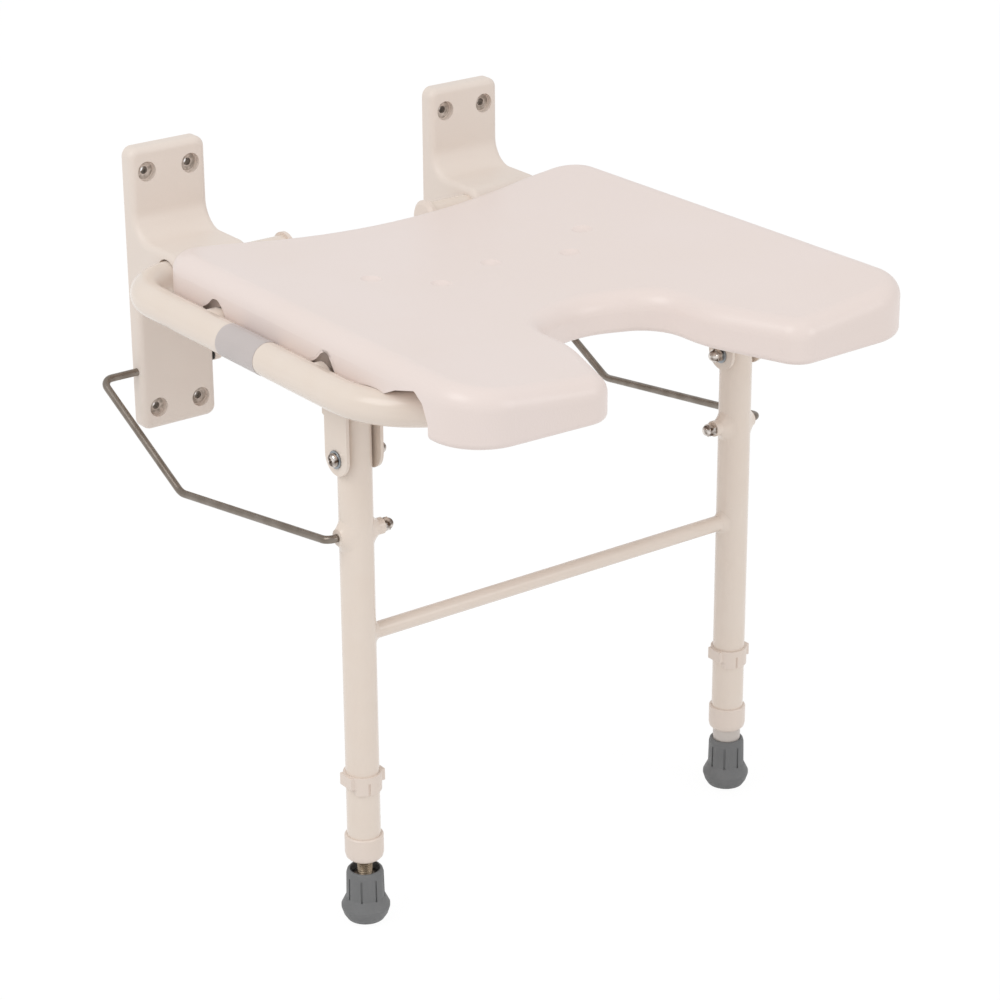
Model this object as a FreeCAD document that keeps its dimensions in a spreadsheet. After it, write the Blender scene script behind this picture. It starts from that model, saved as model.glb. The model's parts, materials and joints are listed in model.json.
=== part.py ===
import FreeCAD, Part
import Sketcher
import math
import os
import re

from FreeCAD import Vector, Rotation, Placement

# Wall-mounted folding bath seat with a horseshoe front and a pair of telescopic legs.
# Millimetres. X runs across the seat, -Y points away from the wall, +Z is up.
# The origin lies on the wall plane, at the middle of the eight wall screw holes.

doc = FreeCAD.newDocument("FoldingBathSeat")
sheet = doc.addObject("Spreadsheet::Sheet", "Sizes")

SIZES = {
    # wall brackets
    "bracket_spacing": 284.0,
    "bracket_width": 68.0,
    "bracket_top": 117.0,
    "bracket_foot": 115.5,
    "plate_thickness": 12.8,
    "plate_corner": 8.0,
    "plate_edge": 5.5,
    "screw_pitch_x": 39.0,
    "screw_pitch_z": 195.0,
    "screw_hole": 6.5,
    "screw_recess": 16.0,
    "screw_recess_depth": 5.0,
    "hub_rise": 18.7,
    "hub_fillet_top": 20.0,
    "hub_fillet_below": 27.0,
    "hub_nose": 18.4,
    "core_wall": 4.0,
    "core_rib": 3.0,
    "bore_mouth_play": 0.2,
    "bore_mouth_past": 1.0,
    "cut_past": 10.0,
    # folding frame
    "pivot_out": 60.5,
    "pivot_up": 27.3,
    "tube_radius": 12.7,
    "tube_wall": 1.5,
    "running_gap": 0.05,
    "stub_end": 69.8,
    "side_reach": 37.7,
    "rear_bend": 46.0,
    "front_bend": 66.8,
    "front_run": 420.5,
    "return_bend": 40.0,
    "return_x": 100.0,
    "cross_radius": 12.4,
    "rear_cross": 176.0,
    "cap_flange": 15.2,
    "cap_thickness": 3.0,
    "cap_dome": 3.5,
    "cap_plug": 14.0,
    "cap_shoulder_share": 0.8,
    "cap_shoulder_rise": 0.72,
    # seat board
    "seat_floor": 21.1,
    "seat_blank_top": 73.0,
    "seat_dish_floor": 50.9,
    "seat_dish_radius": 1400.0,
    "seat_shoulder": 14.0,
    "seat_bottom_round": 5.0,
    "seat_rear_half": 200.1,
    "seat_front_half": 206.5,
    "seat_rear_mid": 107.4,
    "seat_rear_side": 89.7,
    "seat_front_side": 492.0,
    "seat_front_mid": 495.5,
    "seat_rear_corner": 31.0,
    "seat_front_corner": 40.7,
    "seat_rear_flat": 53.6,
    "seat_rear_dip": 0.8,
    "seat_rear_turn": 150.0,
    "seat_rear_sweep": 840.0,
    "cutout_mouth": 85.3,
    "cutout_mouth_corner": 20.0,
    "cutout_flare": 0.8,
    "cutout_flare_out": 420.0,
    "cutout_flare_bend": 100.0,
    "cutout_half": 57.2,
    "cutout_apex": 348.4,
    "cutout_shoulder": 34.0,
    "cutout_shoulder_drop": 21.7,
    "cutout_apex_bend": 66.0,
    "tube_seat_gap": 0.3,
    "arch_depth": 30.0,
    "arch_rear_rise": 18.5,
    "arch_rear_shift": -1.0,
    "arch_front_rise": 20.5,
    "arch_front_shift": 5.5,
    "arch_foot_behind": 2.1,
    "arch_heel_behind": 2.0,
    "arch_heel_rise": 0.6,
    "arch_waist_behind": 1.1,
    "arch_waist_rise": 0.95,
    "arch_crown_behind": 0.5,
    "arch_crown_before": 0.3,
    "arch_knee_before": 1.05,
    "arch_knee_rise": 0.5,
    "arch_foot_before": 1.1,
    "arch_sweep": 4.0,
    "arch_crown_corner": 3.5,
    "opening_foot_corner": 0.5,
    "relief_rise": 25.0,
    "relief_front": 28.0,
    "relief_length": 60.0,
    "relief_toe_lean": 0.2,
    "relief_toe_rise": 0.23,
    "relief_toe_corner": 5.0,
    "relief_shin_at": 0.11,
    "relief_shin_rise": 0.75,
    "relief_shin_corner": 6.0,
    "relief_crest_at": 0.27,
    "relief_crest_corner": 4.0,
    "relief_brow_at": 0.66,
    "relief_brow_rise": 0.74,
    "relief_brow_corner": 10.0,
    "relief_heel_rise": 0.35,
    "relief_heel_corner": 6.0,
    "relief_end_at": 1.03,
    "dimple_radius": 8.0,
    "dimple_depth": 3.0,
    "dimple_mid_out": 241.0,
    "dimple_front_x": 59.5,
    "dimple_front_out": 260.5,
    "dimple_side_x": 98.0,
    "dimple_side_out": 226.0,
    "seat_screw_x": 120.0,
    "seat_screw_shank": 2.4,
    "seat_screw_head": 4.8,
    "seat_screw_tip": 1.0,
    "seat_screw_bite": 8.0,
    # legs
    "leg_x": 179.0,
    "leg_out": 318.5,
    "leg_pivot_drop": 63.5,
    "leg_head": 40.0,
    "leg_foot_end": 322.5,
    "crossbar_radius": 6.2,
    "crossbar_drop": 142.5,
    "clevis_gap": 0.6,
    "clevis_plate": 2.5,
    "clevis_cheek": 14.0,
    "clevis_tip": 12.5,
    "clevis_shoulder": 16.5,
    "clevis_step": 1.0,
    "clevis_shoulder_height": 34.0,
    "round_margin": 0.02,
    "bolt_radius": 3.0,
    "bolt_play": 0.1,
    "washer_radius": 6.85,
    "washer_thickness": 1.4,
    "bolt_head_radius": 5.2,
    "bolt_head_height": 3.6,
    "nut_flats": 10.0,
    "nut_height": 5.0,
    "dome_radius": 4.6,
    "thread_start": 0.01,
    "boss_radius": 6.25,
    "boss_out": 16.5,
    "boss_in": 22.0,
    "peg_proud": 0.9,
    # stays
    "stay_drop": 60.6,
    "stay_wall_out": 6.0,
    "stay_wall_z": 66.27,
    "stay_x": 207.7,
    "stay_leg_x": 204.0,
    "stay_rod": 3.0,
    "stay_elbow_out": 120.7,
    "stay_elbow_z": 124.2,
    "stay_bend": 9.0,
    "stay_elbow_bend": 16.0,
    "stay_end_bend": 6.5,
    "stay_end_gap": 1.3,
    "stay_cap_radius": 5.2,
    "stay_cap_length": 10.0,
    "stay_cap_end": 3.0,
    "stay_cap_wall": 1.5,
    "stay_cap_dome": 5.096,
    # height clips, collars, sliding legs and feet
    "clip_collar_gap": 38.1,
    "clip_height": 14.5,
    "clip_radius": 14.5,
    "clip_lug": 15.3,
    "clip_lug_height": 10.5,
    "clip_lug_rise": 0.8,
    "clip_tongue": 11.5,
    "clip_tongue_drop": 5.0,
    "clip_slot": 2.0,
    "clip_slot_shift": 3.5,
    "clip_peg": 3.0,
    "clip_peg_root": 1.0,
    "clip_peg_gap": 0.2,
    "clip_lug_drop": 2.0,
    "clip_slot_floor": 1.2,
    "collar_height": 20.0,
    "collar_radius": 14.75,
    "collar_lip": 3.6,
    "collar_toe": 2.4,
    "collar_heel": 0.7,
    "collar_heel_rise": 1.8,
    "collar_side_rise": 4.8,
    "collar_rim_drop": 1.0,
    "collar_rim_inset": 0.8,
    "slide_boss_gap": 20.2,
    "slide_wall": 1.5,
    "slide_play": 0.03,
    "slide_rest": 0.1,
    "hole_pitch": 15.0,
    "floor_drop": 378.5,
    "ferrule_height": 42.5,
    "ferrule_flange": 18.5,
    "ferrule_flange_height": 13.0,
    "ferrule_body": 14.6,
    "ferrule_top": 14.2,
    "ferrule_foot": 14.5,
    "ferrule_sole_edge": 4.0,
    "ferrule_sole_rise": 1.2,
    "ferrule_flare": 2.4,
    "ferrule_flare_rise": 5.0,
    "ferrule_flange_edge": 3.0,
    "ferrule_flange_lip": 1.0,
    "ferrule_neck": 1.0,
    "ferrule_neck_rise": 5.0,
    "ferrule_body_rise": 6.5,
    "ferrule_rim_drop": 3.6,
    "ferrule_rim_corner": 0.7,
    "ferrule_rim_low": 1.1,
    "ferrule_rim_inset": 1.7,
    "ferrule_cup": 11.4,
    "ferrule_cup_depth": 12.0,
    "ferrule_slot": 1.6,
    "ferrule_slot_depth": 1.0,
    "ferrule_slot_low": 19.0,
    "ferrule_slot_length": 18.0,
    "stem_radius": 5.8,
    "stem_length": 40.5,
    "stem_flange": 10.8,
    "stem_flange_height": 4.0,
    "slide_plug": 12.0,
}

for row, (alias, value) in enumerate(SIZES.items(), start=1):
    sheet.set("A%d" % row, alias)
    sheet.set("B%d" % row, str(value))
    sheet.setAlias("B%d" % row, alias)
doc.recompute()


def size(alias):
    return float(sheet.get(alias))


def formula(text):
    # a word that is the name of a cell becomes a reference to that cell
    def swap(match):
        word = match.group(0)
        return "Sizes." + word if word in SIZES else word
    return re.sub(r"[a-z_]+", swap, text)


def bind(obj, prop, text):
    obj.setExpression(prop, formula(text))


TURNS = {
    "X": Rotation(Vector(0, 1, 0), 90),
    "-X": Rotation(Vector(0, 1, 0), -90),
    "Y": Rotation(Vector(1, 0, 0), -90),
    "-Y": Rotation(Vector(1, 0, 0), 90),
    "Z": Rotation(),
}


def place(obj, x, y, z, axis="Z"):
    obj.Placement = Placement(Vector(), TURNS[axis])
    bind(obj, "Placement.Base.x", x)
    bind(obj, "Placement.Base.y", y)
    bind(obj, "Placement.Base.z", z)
    return obj


def cylinder(label, radius, length, x, y, z, axis="Z"):
    obj = doc.addObject("Part::Cylinder", label)
    bind(obj, "Radius", radius)
    bind(obj, "Height", length)
    return place(obj, x, y, z, axis)


def box(label, wide, deep, high, x, y, z):
    obj = doc.addObject("Part::Box", label)
    bind(obj, "Length", wide)
    bind(obj, "Width", deep)
    bind(obj, "Height", high)
    return place(obj, x, y, z)


def fuse(label, *pieces):
    obj = doc.addObject("Part::MultiFuse", label)
    obj.Shapes = list(pieces)
    obj.Refine = True
    return obj


def cut(label, base, *tools):
    obj = doc.addObject("Part::Cut", label)
    obj.Base = base
    obj.Tool = tools[0] if len(tools) == 1 else fuse(label + "_tool", *tools)
    return obj


def feature(label, shape):
    obj = doc.addObject("Part::Feature", label)
    obj.Shape = shape
    return obj


def body(label, x="0", y="0", z="0"):
    return place(doc.addObject("PartDesign::Body", label), x, y, z)


def sketch(owner, name, role, offset=None):
    plane = [f for f in owner.Origin.OriginFeatures if f.Role == role][0]
    made = owner.newObject("Sketcher::SketchObject", name)
    made.AttachmentSupport = [(plane, "")]
    made.MapMode = "FlatFace"
    if offset:
        bind(made, "AttachmentOffset.Base.z", offset)
    return made


def pin_point(made, geo, pos, x, y):
    # holds one point of a sketch by its two distances from the origin
    for kind, text in (("DistanceX", x), ("DistanceY", y)):
        held = made.addConstraint(Sketcher.Constraint(kind, -1, 1, geo, pos, 1.0))
        bind(made, "Constraints[%d]" % held, text)


def polygon(made, corners):
    # a closed outline whose corners are each held by two distances from the origin
    count = len(corners)
    first = made.GeometryCount
    rough = [Vector(10.0 * math.cos(k), 10.0 * math.sin(k), 0) for k in range(count)]
    for k in range(count):
        made.addGeometry(Part.LineSegment(rough[k], rough[(k + 1) % count]), False)
    for k in range(count):
        made.addConstraint(Sketcher.Constraint("Coincident", first + k, 2, first + (k + 1) % count, 1))
    for k, (x, y) in enumerate(corners):
        pin_point(made, first + k, 1, x, y)


def circle(made, x, y, radius):
    geo = made.addGeometry(Part.Circle(Vector(1, 1, 0), Vector(0, 0, 1), 1.0), False)
    pin_point(made, geo, 3, x, y)
    held = made.addConstraint(Sketcher.Constraint("Radius", geo, 1.0))
    bind(made, "Constraints[%d]" % held, radius)


def rectangle(made, left, right, low, high):
    polygon(made, [(left, low), (right, low), (right, high), (left, high)])


def pad(owner, name, profile, length, both=False, flip=False):
    made = owner.newObject("PartDesign::Pad", name)
    made.Profile = profile
    made.SideType = "Symmetric" if both else "One side"
    made.Reversed = flip
    bind(made, "Length", length)
    doc.recompute()
    return made


def pocket(owner, name, profile, length, both=False, flip=False):
    made = owner.newObject("PartDesign::Pocket", name)
    made.Profile = profile
    made.SideType = "Symmetric" if both else "One side"
    made.Reversed = flip
    bind(made, "Length", length)
    before = made.BaseFeature.Shape.Volume
    doc.recompute()
    if made.Shape.isNull() or made.Shape.Volume > before - 0.01:
        raise RuntimeError(name + " cuts nothing")
    return made


def turned(owner, name, profile):
    made = owner.newObject("PartDesign::Revolution", name)
    made.Profile = profile
    made.ReferenceAxis = (profile, ["V_Axis"])
    made.Angle = 360
    doc.recompute()
    return made


def rounded(owner, name, base, radius, wanted):
    edges = ["Edge%d" % (k + 1) for k, e in enumerate(base.Shape.Edges) if wanted(e)]
    made = owner.newObject("PartDesign::Fillet", name)
    made.Base = (base, edges)
    bind(made, "Radius", radius)
    doc.recompute()
    return made


def near(a, b, tolerance=0.02):
    return abs(a - b) < tolerance


def along(edge, axis):
    # True for a straight edge that runs along the given axis
    if len(edge.Vertexes) < 2 or edge.Curve.TypeId != "Part::GeomLine":
        return False
    run = edge.Vertexes[1].Point - edge.Vertexes[0].Point
    return abs(abs(run.normalize().dot(axis)) - 1.0) < 1e-6


def flat_at(edge, axis, level):
    # True for an edge that lies in the plane at the given level of one axis
    box_ = edge.BoundBox
    low = {"X": box_.XMin, "Y": box_.YMin, "Z": box_.ZMin}[axis]
    high = {"X": box_.XMax, "Y": box_.YMax, "Z": box_.ZMax}[axis]
    return near(low, level) and near(high, level)


X_AXIS = Vector(1, 0, 0)
Y_AXIS = Vector(0, 1, 0)
Z_AXIS = Vector(0, 0, 1)

# how far from a face an edge may lie and still be counted as its edge
EDGE_MARGIN = 1.0

# heights that several pieces share
LEG_PIVOT_Z = "pivot_up - leg_pivot_drop"
STAY_PEG_Z = "pivot_up - leg_pivot_drop - stay_drop"
FLOOR_Z = "pivot_up - leg_pivot_drop - floor_drop"
LEG_END_Z = "pivot_up - leg_pivot_drop - leg_foot_end"
CLIP_Z = LEG_END_Z + " + collar_height - collar_lip + clip_collar_gap + clip_height / 2"

# the middle line of the side tubes, and the length of the sliding legs
SIDE_X = "(bracket_spacing / 2 + bracket_width / 2 + side_reach)"
SLIDE_LENGTH = "(leg_foot_end + collar_lip - stay_drop - boss_radius - slide_boss_gap)"
# how much of each rear bend lies inside the bracket's bore, and how far its inner wall leaves the bore
BEND_INSIDE = "max(rear_bend - side_reach; running_gap)"
BEND_INNER = "(rear_bend - tube_radius)"
BEND_SHIFT = "(%s - sqrt(%s * %s - %s * %s))" % (BEND_INNER, BEND_INNER, BEND_INNER, BEND_INSIDE, BEND_INSIDE)


def side_x():
    return size("bracket_spacing") / 2 + size("bracket_width") / 2 + size("side_reach")


def rounded_path(points, radii, closed=False):
    # straight runs joined by tangent arcs, each arc inside its corner
    count = len(points)
    edges = []
    corners = range(count) if closed else range(1, count - 1)
    cuts = {}
    for k in corners:
        here, before, after = points[k], points[k - 1], points[(k + 1) % count]
        back = (before - here).normalize()
        ahead = (after - here).normalize()
        half = 0.5 * back.getAngle(ahead)
        reach = radii[k] / math.tan(half)
        middle = here + (back + ahead).normalize() * (radii[k] / math.sin(half))
        inner = middle + (here - middle).normalize() * radii[k]
        cuts[k] = (here + back * reach, inner, here + ahead * reach)
    order = list(range(count))
    for k in order:
        if k in cuts:
            edges.append(Part.Arc(*cuts[k]).toShape())
        if closed or k < count - 1:
            start = cuts[k][2] if k in cuts else points[k]
            follow = (k + 1) % count
            end = cuts[follow][0] if follow in cuts else points[follow]
            edges.append(Part.makeLine(start, end))
    return Part.Wire(edges)


def pipe(path, radius):
    start = path.Edges[0]
    point = start.valueAt(start.FirstParameter)
    heading = start.tangentAt(start.FirstParameter)
    ring = Part.Wire([Part.makeCircle(radius, point, heading)])
    return path.makePipeShell([ring], True, False)


def trough(path, radius, depth):
    # a round-topped channel that follows a level path and is open downwards
    start = path.Edges[0]
    point = start.valueAt(start.FirstParameter)
    aside = start.tangentAt(start.FirstParameter).cross(Z_AXIS) * radius
    left, right = point - aside, point + aside
    down = Z_AXIS * -depth
    section = Part.Wire([
        Part.Arc(left, point + Z_AXIS * radius, right).toShape(),
        Part.makeLine(right, right + down),
        Part.makeLine(right + down, left + down),
        Part.makeLine(left + down, left),
    ])
    return path.makePipeShell([section], True, False)


def traced(made, path):
    # copies the lines and arcs of a path into a sketch
    for edge in path.Edges:
        first, last = edge.FirstParameter, edge.LastParameter
        start, end = edge.valueAt(first), edge.valueAt(last)
        if edge.Curve.TypeId == "Part::GeomLine":
            made.addGeometry(Part.LineSegment(start, end), False)
        else:
            middle = edge.valueAt(0.5 * (first + last))
            made.addGeometry(Part.Arc(start, middle, end), False)


def moulded_bracket(label, side):
    owner = body(label, side + "bracket_spacing / 2")
    profile = sketch(owner, label + "_profile", "YZ_Plane")
    polygon(profile, [
        ("0", "-bracket_foot"),
        ("-plate_thickness", "-bracket_foot"),
        ("-plate_thickness", "pivot_up - hub_rise"),
        ("-pivot_out - hub_rise", "pivot_up - hub_rise"),
        ("-pivot_out - hub_rise", "pivot_up + hub_rise"),
        ("-plate_thickness", "pivot_up + hub_rise"),
        ("-plate_thickness", "bracket_top"),
        ("0", "bracket_top"),
    ])
    base = pad(owner, label + "_block", profile, "bracket_width", both=True)
    front = -size("plate_thickness")
    nose = -size("pivot_out") - size("hub_rise")
    low = size("pivot_up") - size("hub_rise")
    high = size("pivot_up") + size("hub_rise")

    def corner(y, z):
        def wanted(e):
            return along(e, X_AXIS) and near(e.Vertexes[0].Y, y) and near(e.Vertexes[0].Z, z)
        return wanted

    step = rounded(owner, label + "_upper_sweep", base, "hub_fillet_top", corner(front, high))
    step = rounded(owner, label + "_lower_sweep", step, "hub_fillet_below", corner(front, low))
    step = rounded(owner, label + "_nose", step, "hub_nose",
                   lambda e: along(e, X_AXIS) and near(e.Vertexes[0].Y, nose))
    half = size("bracket_width") / 2
    step = rounded(owner, label + "_corners", step, "plate_corner",
                   lambda e: along(e, Y_AXIS) and near(abs(e.Vertexes[0].X), half)
                   and (near(e.Vertexes[0].Z, size("bracket_top"))
                        or near(e.Vertexes[0].Z, -size("bracket_foot"))))
    step = rounded(owner, label + "_edges", step, "plate_edge",
                   lambda e: e.BoundBox.YMax < -EDGE_MARGIN and not along(e, X_AXIS)
                   or (along(e, X_AXIS) and near(e.Vertexes[0].Y, front)
                       and e.Vertexes[0].Z > size("bracket_top") - EDGE_MARGIN)
                   or (along(e, X_AXIS) and near(e.Vertexes[0].Y, front)
                       and e.Vertexes[0].Z < EDGE_MARGIN - size("bracket_foot")))
    holes = sketch(owner, label + "_screw_holes", "XZ_Plane")
    recesses = sketch(owner, label + "_screw_recesses", "XZ_Plane", "plate_thickness")
    for x in ("-screw_pitch_x / 2", "screw_pitch_x / 2"):
        for z in ("-screw_pitch_z / 2", "screw_pitch_z / 2"):
            circle(holes, x, z, "screw_hole / 2")
            circle(recesses, x, z, "screw_recess / 2")
    pocket(owner, label + "_bored", holes, "2 * plate_thickness + cut_past", both=True)
    pocket(owner, label + "_recessed", recesses, "screw_recess_depth")
    bores = sketch(owner, label + "_cross_bores", "YZ_Plane")
    circle(bores, "-pivot_out", "pivot_up", "tube_radius + running_gap")
    circle(bores, "-stay_wall_out", "-stay_wall_z", "stay_rod + running_gap")
    pocket(owner, label + "_cross_bored", bores, "bracket_width + cut_past", both=True)
    # the mouth of the bore is eased where the tube's bend begins inside it
    mouth = sketch(owner, label + "_bore_mouth", "YZ_Plane", side + "bracket_width / 2")
    circle(mouth, "-pivot_out", "pivot_up", "tube_radius + bore_mouth_play + " + BEND_SHIFT)
    pocket(owner, label + "_mouth_eased", mouth, BEND_INSIDE + " + bore_mouth_past", flip=side == "-")
    # three cells moulded into the back of the hub, with two ribs between them
    cores = sketch(owner, label + "_cores", "XZ_Plane")
    cell = "(bracket_width - 2 * core_wall - 2 * core_rib) / 3"
    for k in range(3):
        left = "-bracket_width / 2 + core_wall + %d * (%s + core_rib)" % (k, cell)
        rectangle(cores, left, left + " + " + cell,
                  "pivot_up - hub_rise + core_wall", "pivot_up + hub_rise - core_wall")
    pocket(owner, label + "_cored", cores, "pivot_out - tube_radius - core_wall", flip=True)
    return owner


def frame_path(side, start_x):
    # out of the bracket, forward along the seat's side, across its front and back to the cross tube
    up = size("pivot_up")
    route = [
        Vector(side * start_x, -size("pivot_out"), up),
        Vector(side * side_x(), -size("pivot_out"), up),
        Vector(side * side_x(), -size("front_run"), up),
        Vector(side * size("return_x"), -size("front_run"), up),
        Vector(side * size("return_x"), -size("leg_out"), up),
    ]
    return rounded_path(route, [0, size("rear_bend"), size("front_bend"), size("return_bend"), 0])


def bent_frame_tube(label, side):
    path = frame_path(side, size("stub_end"))
    outer = pipe(path, size("tube_radius"))
    inner = pipe(path, size("tube_radius") - size("tube_wall"))
    saddle = Part.makeCylinder(size("cross_radius"), 2 * side_x(),
                               Vector(-side_x(), -size("leg_out"), size("pivot_up")), X_AXIS)
    tube = outer.cut(inner).cut(saddle)
    return feature(label, max(tube.Solids, key=lambda s: s.Volume))


def cross_tube(label, out):
    length = "2 * " + SIDE_X
    start = ("-" + SIDE_X, "-" + out, "pivot_up", "X")
    wall = cut(label + "_pipe",
               cylinder(label + "_outer", "cross_radius", length, *start),
               cylinder(label + "_inner", "cross_radius - tube_wall", length, *start))
    tools = []
    for name, side in (("left", "-"), ("right", "")):
        tools.append(cylinder(label + "_saddle_" + name, "tube_radius", "front_run",
                              side + SIDE_X, "0", "pivot_up", "-Y"))
        tools.append(cylinder(label + "_screw_way_" + name, "seat_screw_shank + bolt_play",
                              "4 * cross_radius", side + "seat_screw_x", "-" + out,
                              "pivot_up - 2 * cross_radius"))
    return cut(label, wall, *tools)


def frame_end_cap(label, side):
    # a push-in plug with a flange and a shallow dome, turned about the stub tube
    owner = body(label, side + "stub_end", "-pivot_out", "pivot_up")
    profile = sketch(owner, label + "_profile", "XY_Plane")
    bore = "tube_radius - tube_wall - running_gap"
    polygon(profile, [
        ("0", "-cap_plug"),
        (bore, "-cap_plug"),
        (bore, "0"),
        ("cap_flange", "0"),
        ("cap_flange", "cap_thickness"),
        ("cap_flange * cap_shoulder_share", "cap_thickness + cap_dome * cap_shoulder_rise"),
        ("0", "cap_thickness + cap_dome"),
    ])
    turned(owner, label + "_turned", profile)
    owner.Placement.Rotation = Rotation(Z_AXIS, -90 if side == "-" else 90)
    return owner


def seat_outline():
    # half the plan outline: corner x, corner y and corner radius, from the middle of the back
    half = [
        (0.0, -size("seat_rear_mid"), size("seat_rear_sweep")),
        (size("seat_rear_half") - size("seat_rear_flat"),
         size("seat_rear_dip") - size("seat_rear_side"), size("seat_rear_turn")),
        (size("seat_rear_half"), -size("seat_rear_side"), size("seat_rear_corner")),
        (size("seat_front_half"), -size("seat_front_side"), size("seat_front_corner")),
        (size("cutout_mouth"), -size("seat_front_mid"), size("cutout_mouth_corner")),
        (size("cutout_half") + size("cutout_flare"), -size("cutout_flare_out"),
         size("cutout_flare_bend")),
        (size("cutout_half"), -size("cutout_apex") - size("cutout_shoulder_drop"),
         size("cutout_shoulder")),
        (0.0, -size("cutout_apex"), size("cutout_apex_bend")),
    ]
    ring = half + [(-x, y, r) for x, y, r in reversed(half[1:-1])]
    return rounded_path([Vector(x, y, 0) for x, y, r in ring], [r for x, y, r in ring], closed=True)


def side_opening(owner, name, side, corners):
    # an opening through the board's side wall, from corners given as y, z and corner radius
    start = "(max(seat_front_half; seat_rear_half) + arch_depth)"
    made = sketch(owner, name, "YZ_Plane", side + start)
    points = [Vector(y, z, 0) for y, z, r in corners]
    traced(made, rounded_path(points, [r for y, z, r in corners], closed=True))
    inner = "(%s - tube_radius - arch_depth)" % SIDE_X
    pocket(owner, name + "_cut", made, start + " - " + inner, flip=side == "-")


def arch_corners(end, out):
    # corners from the wall outwards, in radii of the cross tube behind it and before it
    radius = size("cross_radius")
    up = size("pivot_up")
    middle = -size(out) - size("arch_%s_shift" % end)
    peak = up + size("arch_%s_rise" % end)
    foot = size("opening_foot_corner")
    sweep = size("arch_sweep")
    crown = size("arch_crown_corner")
    return [
        (middle + size("arch_foot_behind") * radius, 0.0, foot),
        (middle + size("arch_heel_behind") * radius, up + size("arch_heel_rise") * radius, sweep),
        (middle + size("arch_waist_behind") * radius, up + size("arch_waist_rise") * radius, sweep),
        (middle + size("arch_crown_behind") * radius, peak, crown),
        (middle - size("arch_crown_before") * radius, peak, crown),
        (middle - size("arch_knee_before") * radius, up + size("arch_knee_rise") * radius, sweep),
        (middle - size("arch_foot_before") * radius, 0.0, foot),
    ]


def relief_corners():
    # follows the front bend of the side tube, then drops in front of it
    up = size("pivot_up")
    crest = size("relief_rise")
    reach = size("relief_length")
    front = -size("front_run") - size("relief_front")
    foot = size("opening_foot_corner")
    return [
        (front, 0.0, foot),
        (front + size("relief_toe_lean"), up + size("relief_toe_rise") * crest,
         size("relief_toe_corner")),
        (front + size("relief_shin_at") * reach, up + size("relief_shin_rise") * crest,
         size("relief_shin_corner")),
        (front + size("relief_crest_at") * reach, up + crest, size("relief_crest_corner")),
        (front + size("relief_brow_at") * reach, up + size("relief_brow_rise") * crest,
         size("relief_brow_corner")),
        (front + reach, up + size("relief_heel_rise") * crest, size("relief_heel_corner")),
        (front + size("relief_end_at") * reach, 0.0, foot),
    ]


def seat_blank(label):
    owner = body(label)
    plan = sketch(owner, "seat_plan", "XY_Plane", "seat_floor")
    traced(plan, seat_outline())
    base = pad(owner, "seat_blank", plan, "seat_blank_top - seat_floor")
    # the top sags to a shallow dish across the seat
    dish = sketch(owner, "seat_dish", "XZ_Plane")
    reach = size("seat_front_half") + size("seat_rear_half") / 4
    floor = size("seat_dish_floor")
    rise = size("seat_dish_radius") - math.sqrt(size("seat_dish_radius") ** 2 - reach ** 2)
    top = floor + rise + size("seat_blank_top")
    left = Vector(-reach, floor + rise, 0)
    right = Vector(reach, floor + rise, 0)
    dish.addGeometry(Part.Arc(left, Vector(0, floor, 0), right), False)
    dish.addGeometry(Part.LineSegment(right, Vector(reach, top, 0)), False)
    dish.addGeometry(Part.LineSegment(Vector(reach, top, 0), Vector(-reach, top, 0)), False)
    dish.addGeometry(Part.LineSegment(Vector(-reach, top, 0), left), False)
    step = pocket(owner, "seat_dished", dish, "4 * seat_front_mid", both=True)
    step = rounded(owner, "seat_shoulders", step, "seat_shoulder",
                   lambda e: e.BoundBox.ZMin > floor - EDGE_MARGIN)
    rounded(owner, "seat_lower_edges", step, "seat_bottom_round",
            lambda e: flat_at(e, "Z", size("seat_floor")))
    # the side wall arches over the end of each cross tube, steeper in front than behind
    for name, side in (("left", "-"), ("right", "")):
        for end, out in (("rear", "rear_cross"), ("front", "leg_out")):
            side_opening(owner, "seat_arch_%s_%s" % (end, name), side, arch_corners(end, out))
        side_opening(owner, "seat_relief_" + name, side, relief_corners())
    return owner


def cross_trough(label, out):
    reach = "(cross_radius + tube_seat_gap)"
    return fuse(label,
                cylinder(label + "_round", reach, "2 * " + SIDE_X, "-" + SIDE_X, "-" + out,
                         "pivot_up", "X"),
                box(label + "_open", "2 * " + SIDE_X, "2 * " + reach, "pivot_up", "-" + SIDE_X,
                    "-%s - %s" % (out, reach), "0"))


def seat_board(label):
    tools = []
    # the board beds down over the frame, so its underside carries a trough for each tube
    bed = size("tube_radius") + size("tube_seat_gap")
    for name, side in (("left", -1.0), ("right", 1.0)):
        tools.append(feature("seat_trough_" + name,
                             trough(frame_path(side, size("stub_end")), bed, 2 * bed)))
    tools.append(cross_trough("seat_rear_trough", "rear_cross"))
    tools.append(cross_trough("seat_front_trough", "leg_out"))
    radius = "(dimple_radius * dimple_radius + dimple_depth * dimple_depth) / (2 * dimple_depth)"
    sag = "seat_dish_radius - sqrt(seat_dish_radius * seat_dish_radius - %s * %s)"
    spots = (("0", "dimple_mid_out"),
             ("dimple_front_x", "dimple_front_out"), ("-dimple_front_x", "dimple_front_out"),
             ("dimple_side_x", "dimple_side_out"), ("-dimple_side_x", "dimple_side_out"))
    for k, (x, out) in enumerate(spots):
        ball = doc.addObject("Part::Sphere", "seat_dimple_%d" % (k + 1))
        bind(ball, "Radius", radius)
        top = "seat_dish_floor + " + sag % ("(" + x + ")", "(" + x + ")")
        place(ball, x, "-" + out, top + " + " + radius + " - dimple_depth")
        tools.append(ball)
    for x, out, name in screw_places():
        tools.append(cylinder("seat_screw_hole_" + name, "seat_screw_shank + bolt_play",
                              "tube_radius + seat_screw_bite + bolt_play", x, "-" + out, "pivot_up"))
    return cut(label, seat_blank("seat_moulding"), *tools)


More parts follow.
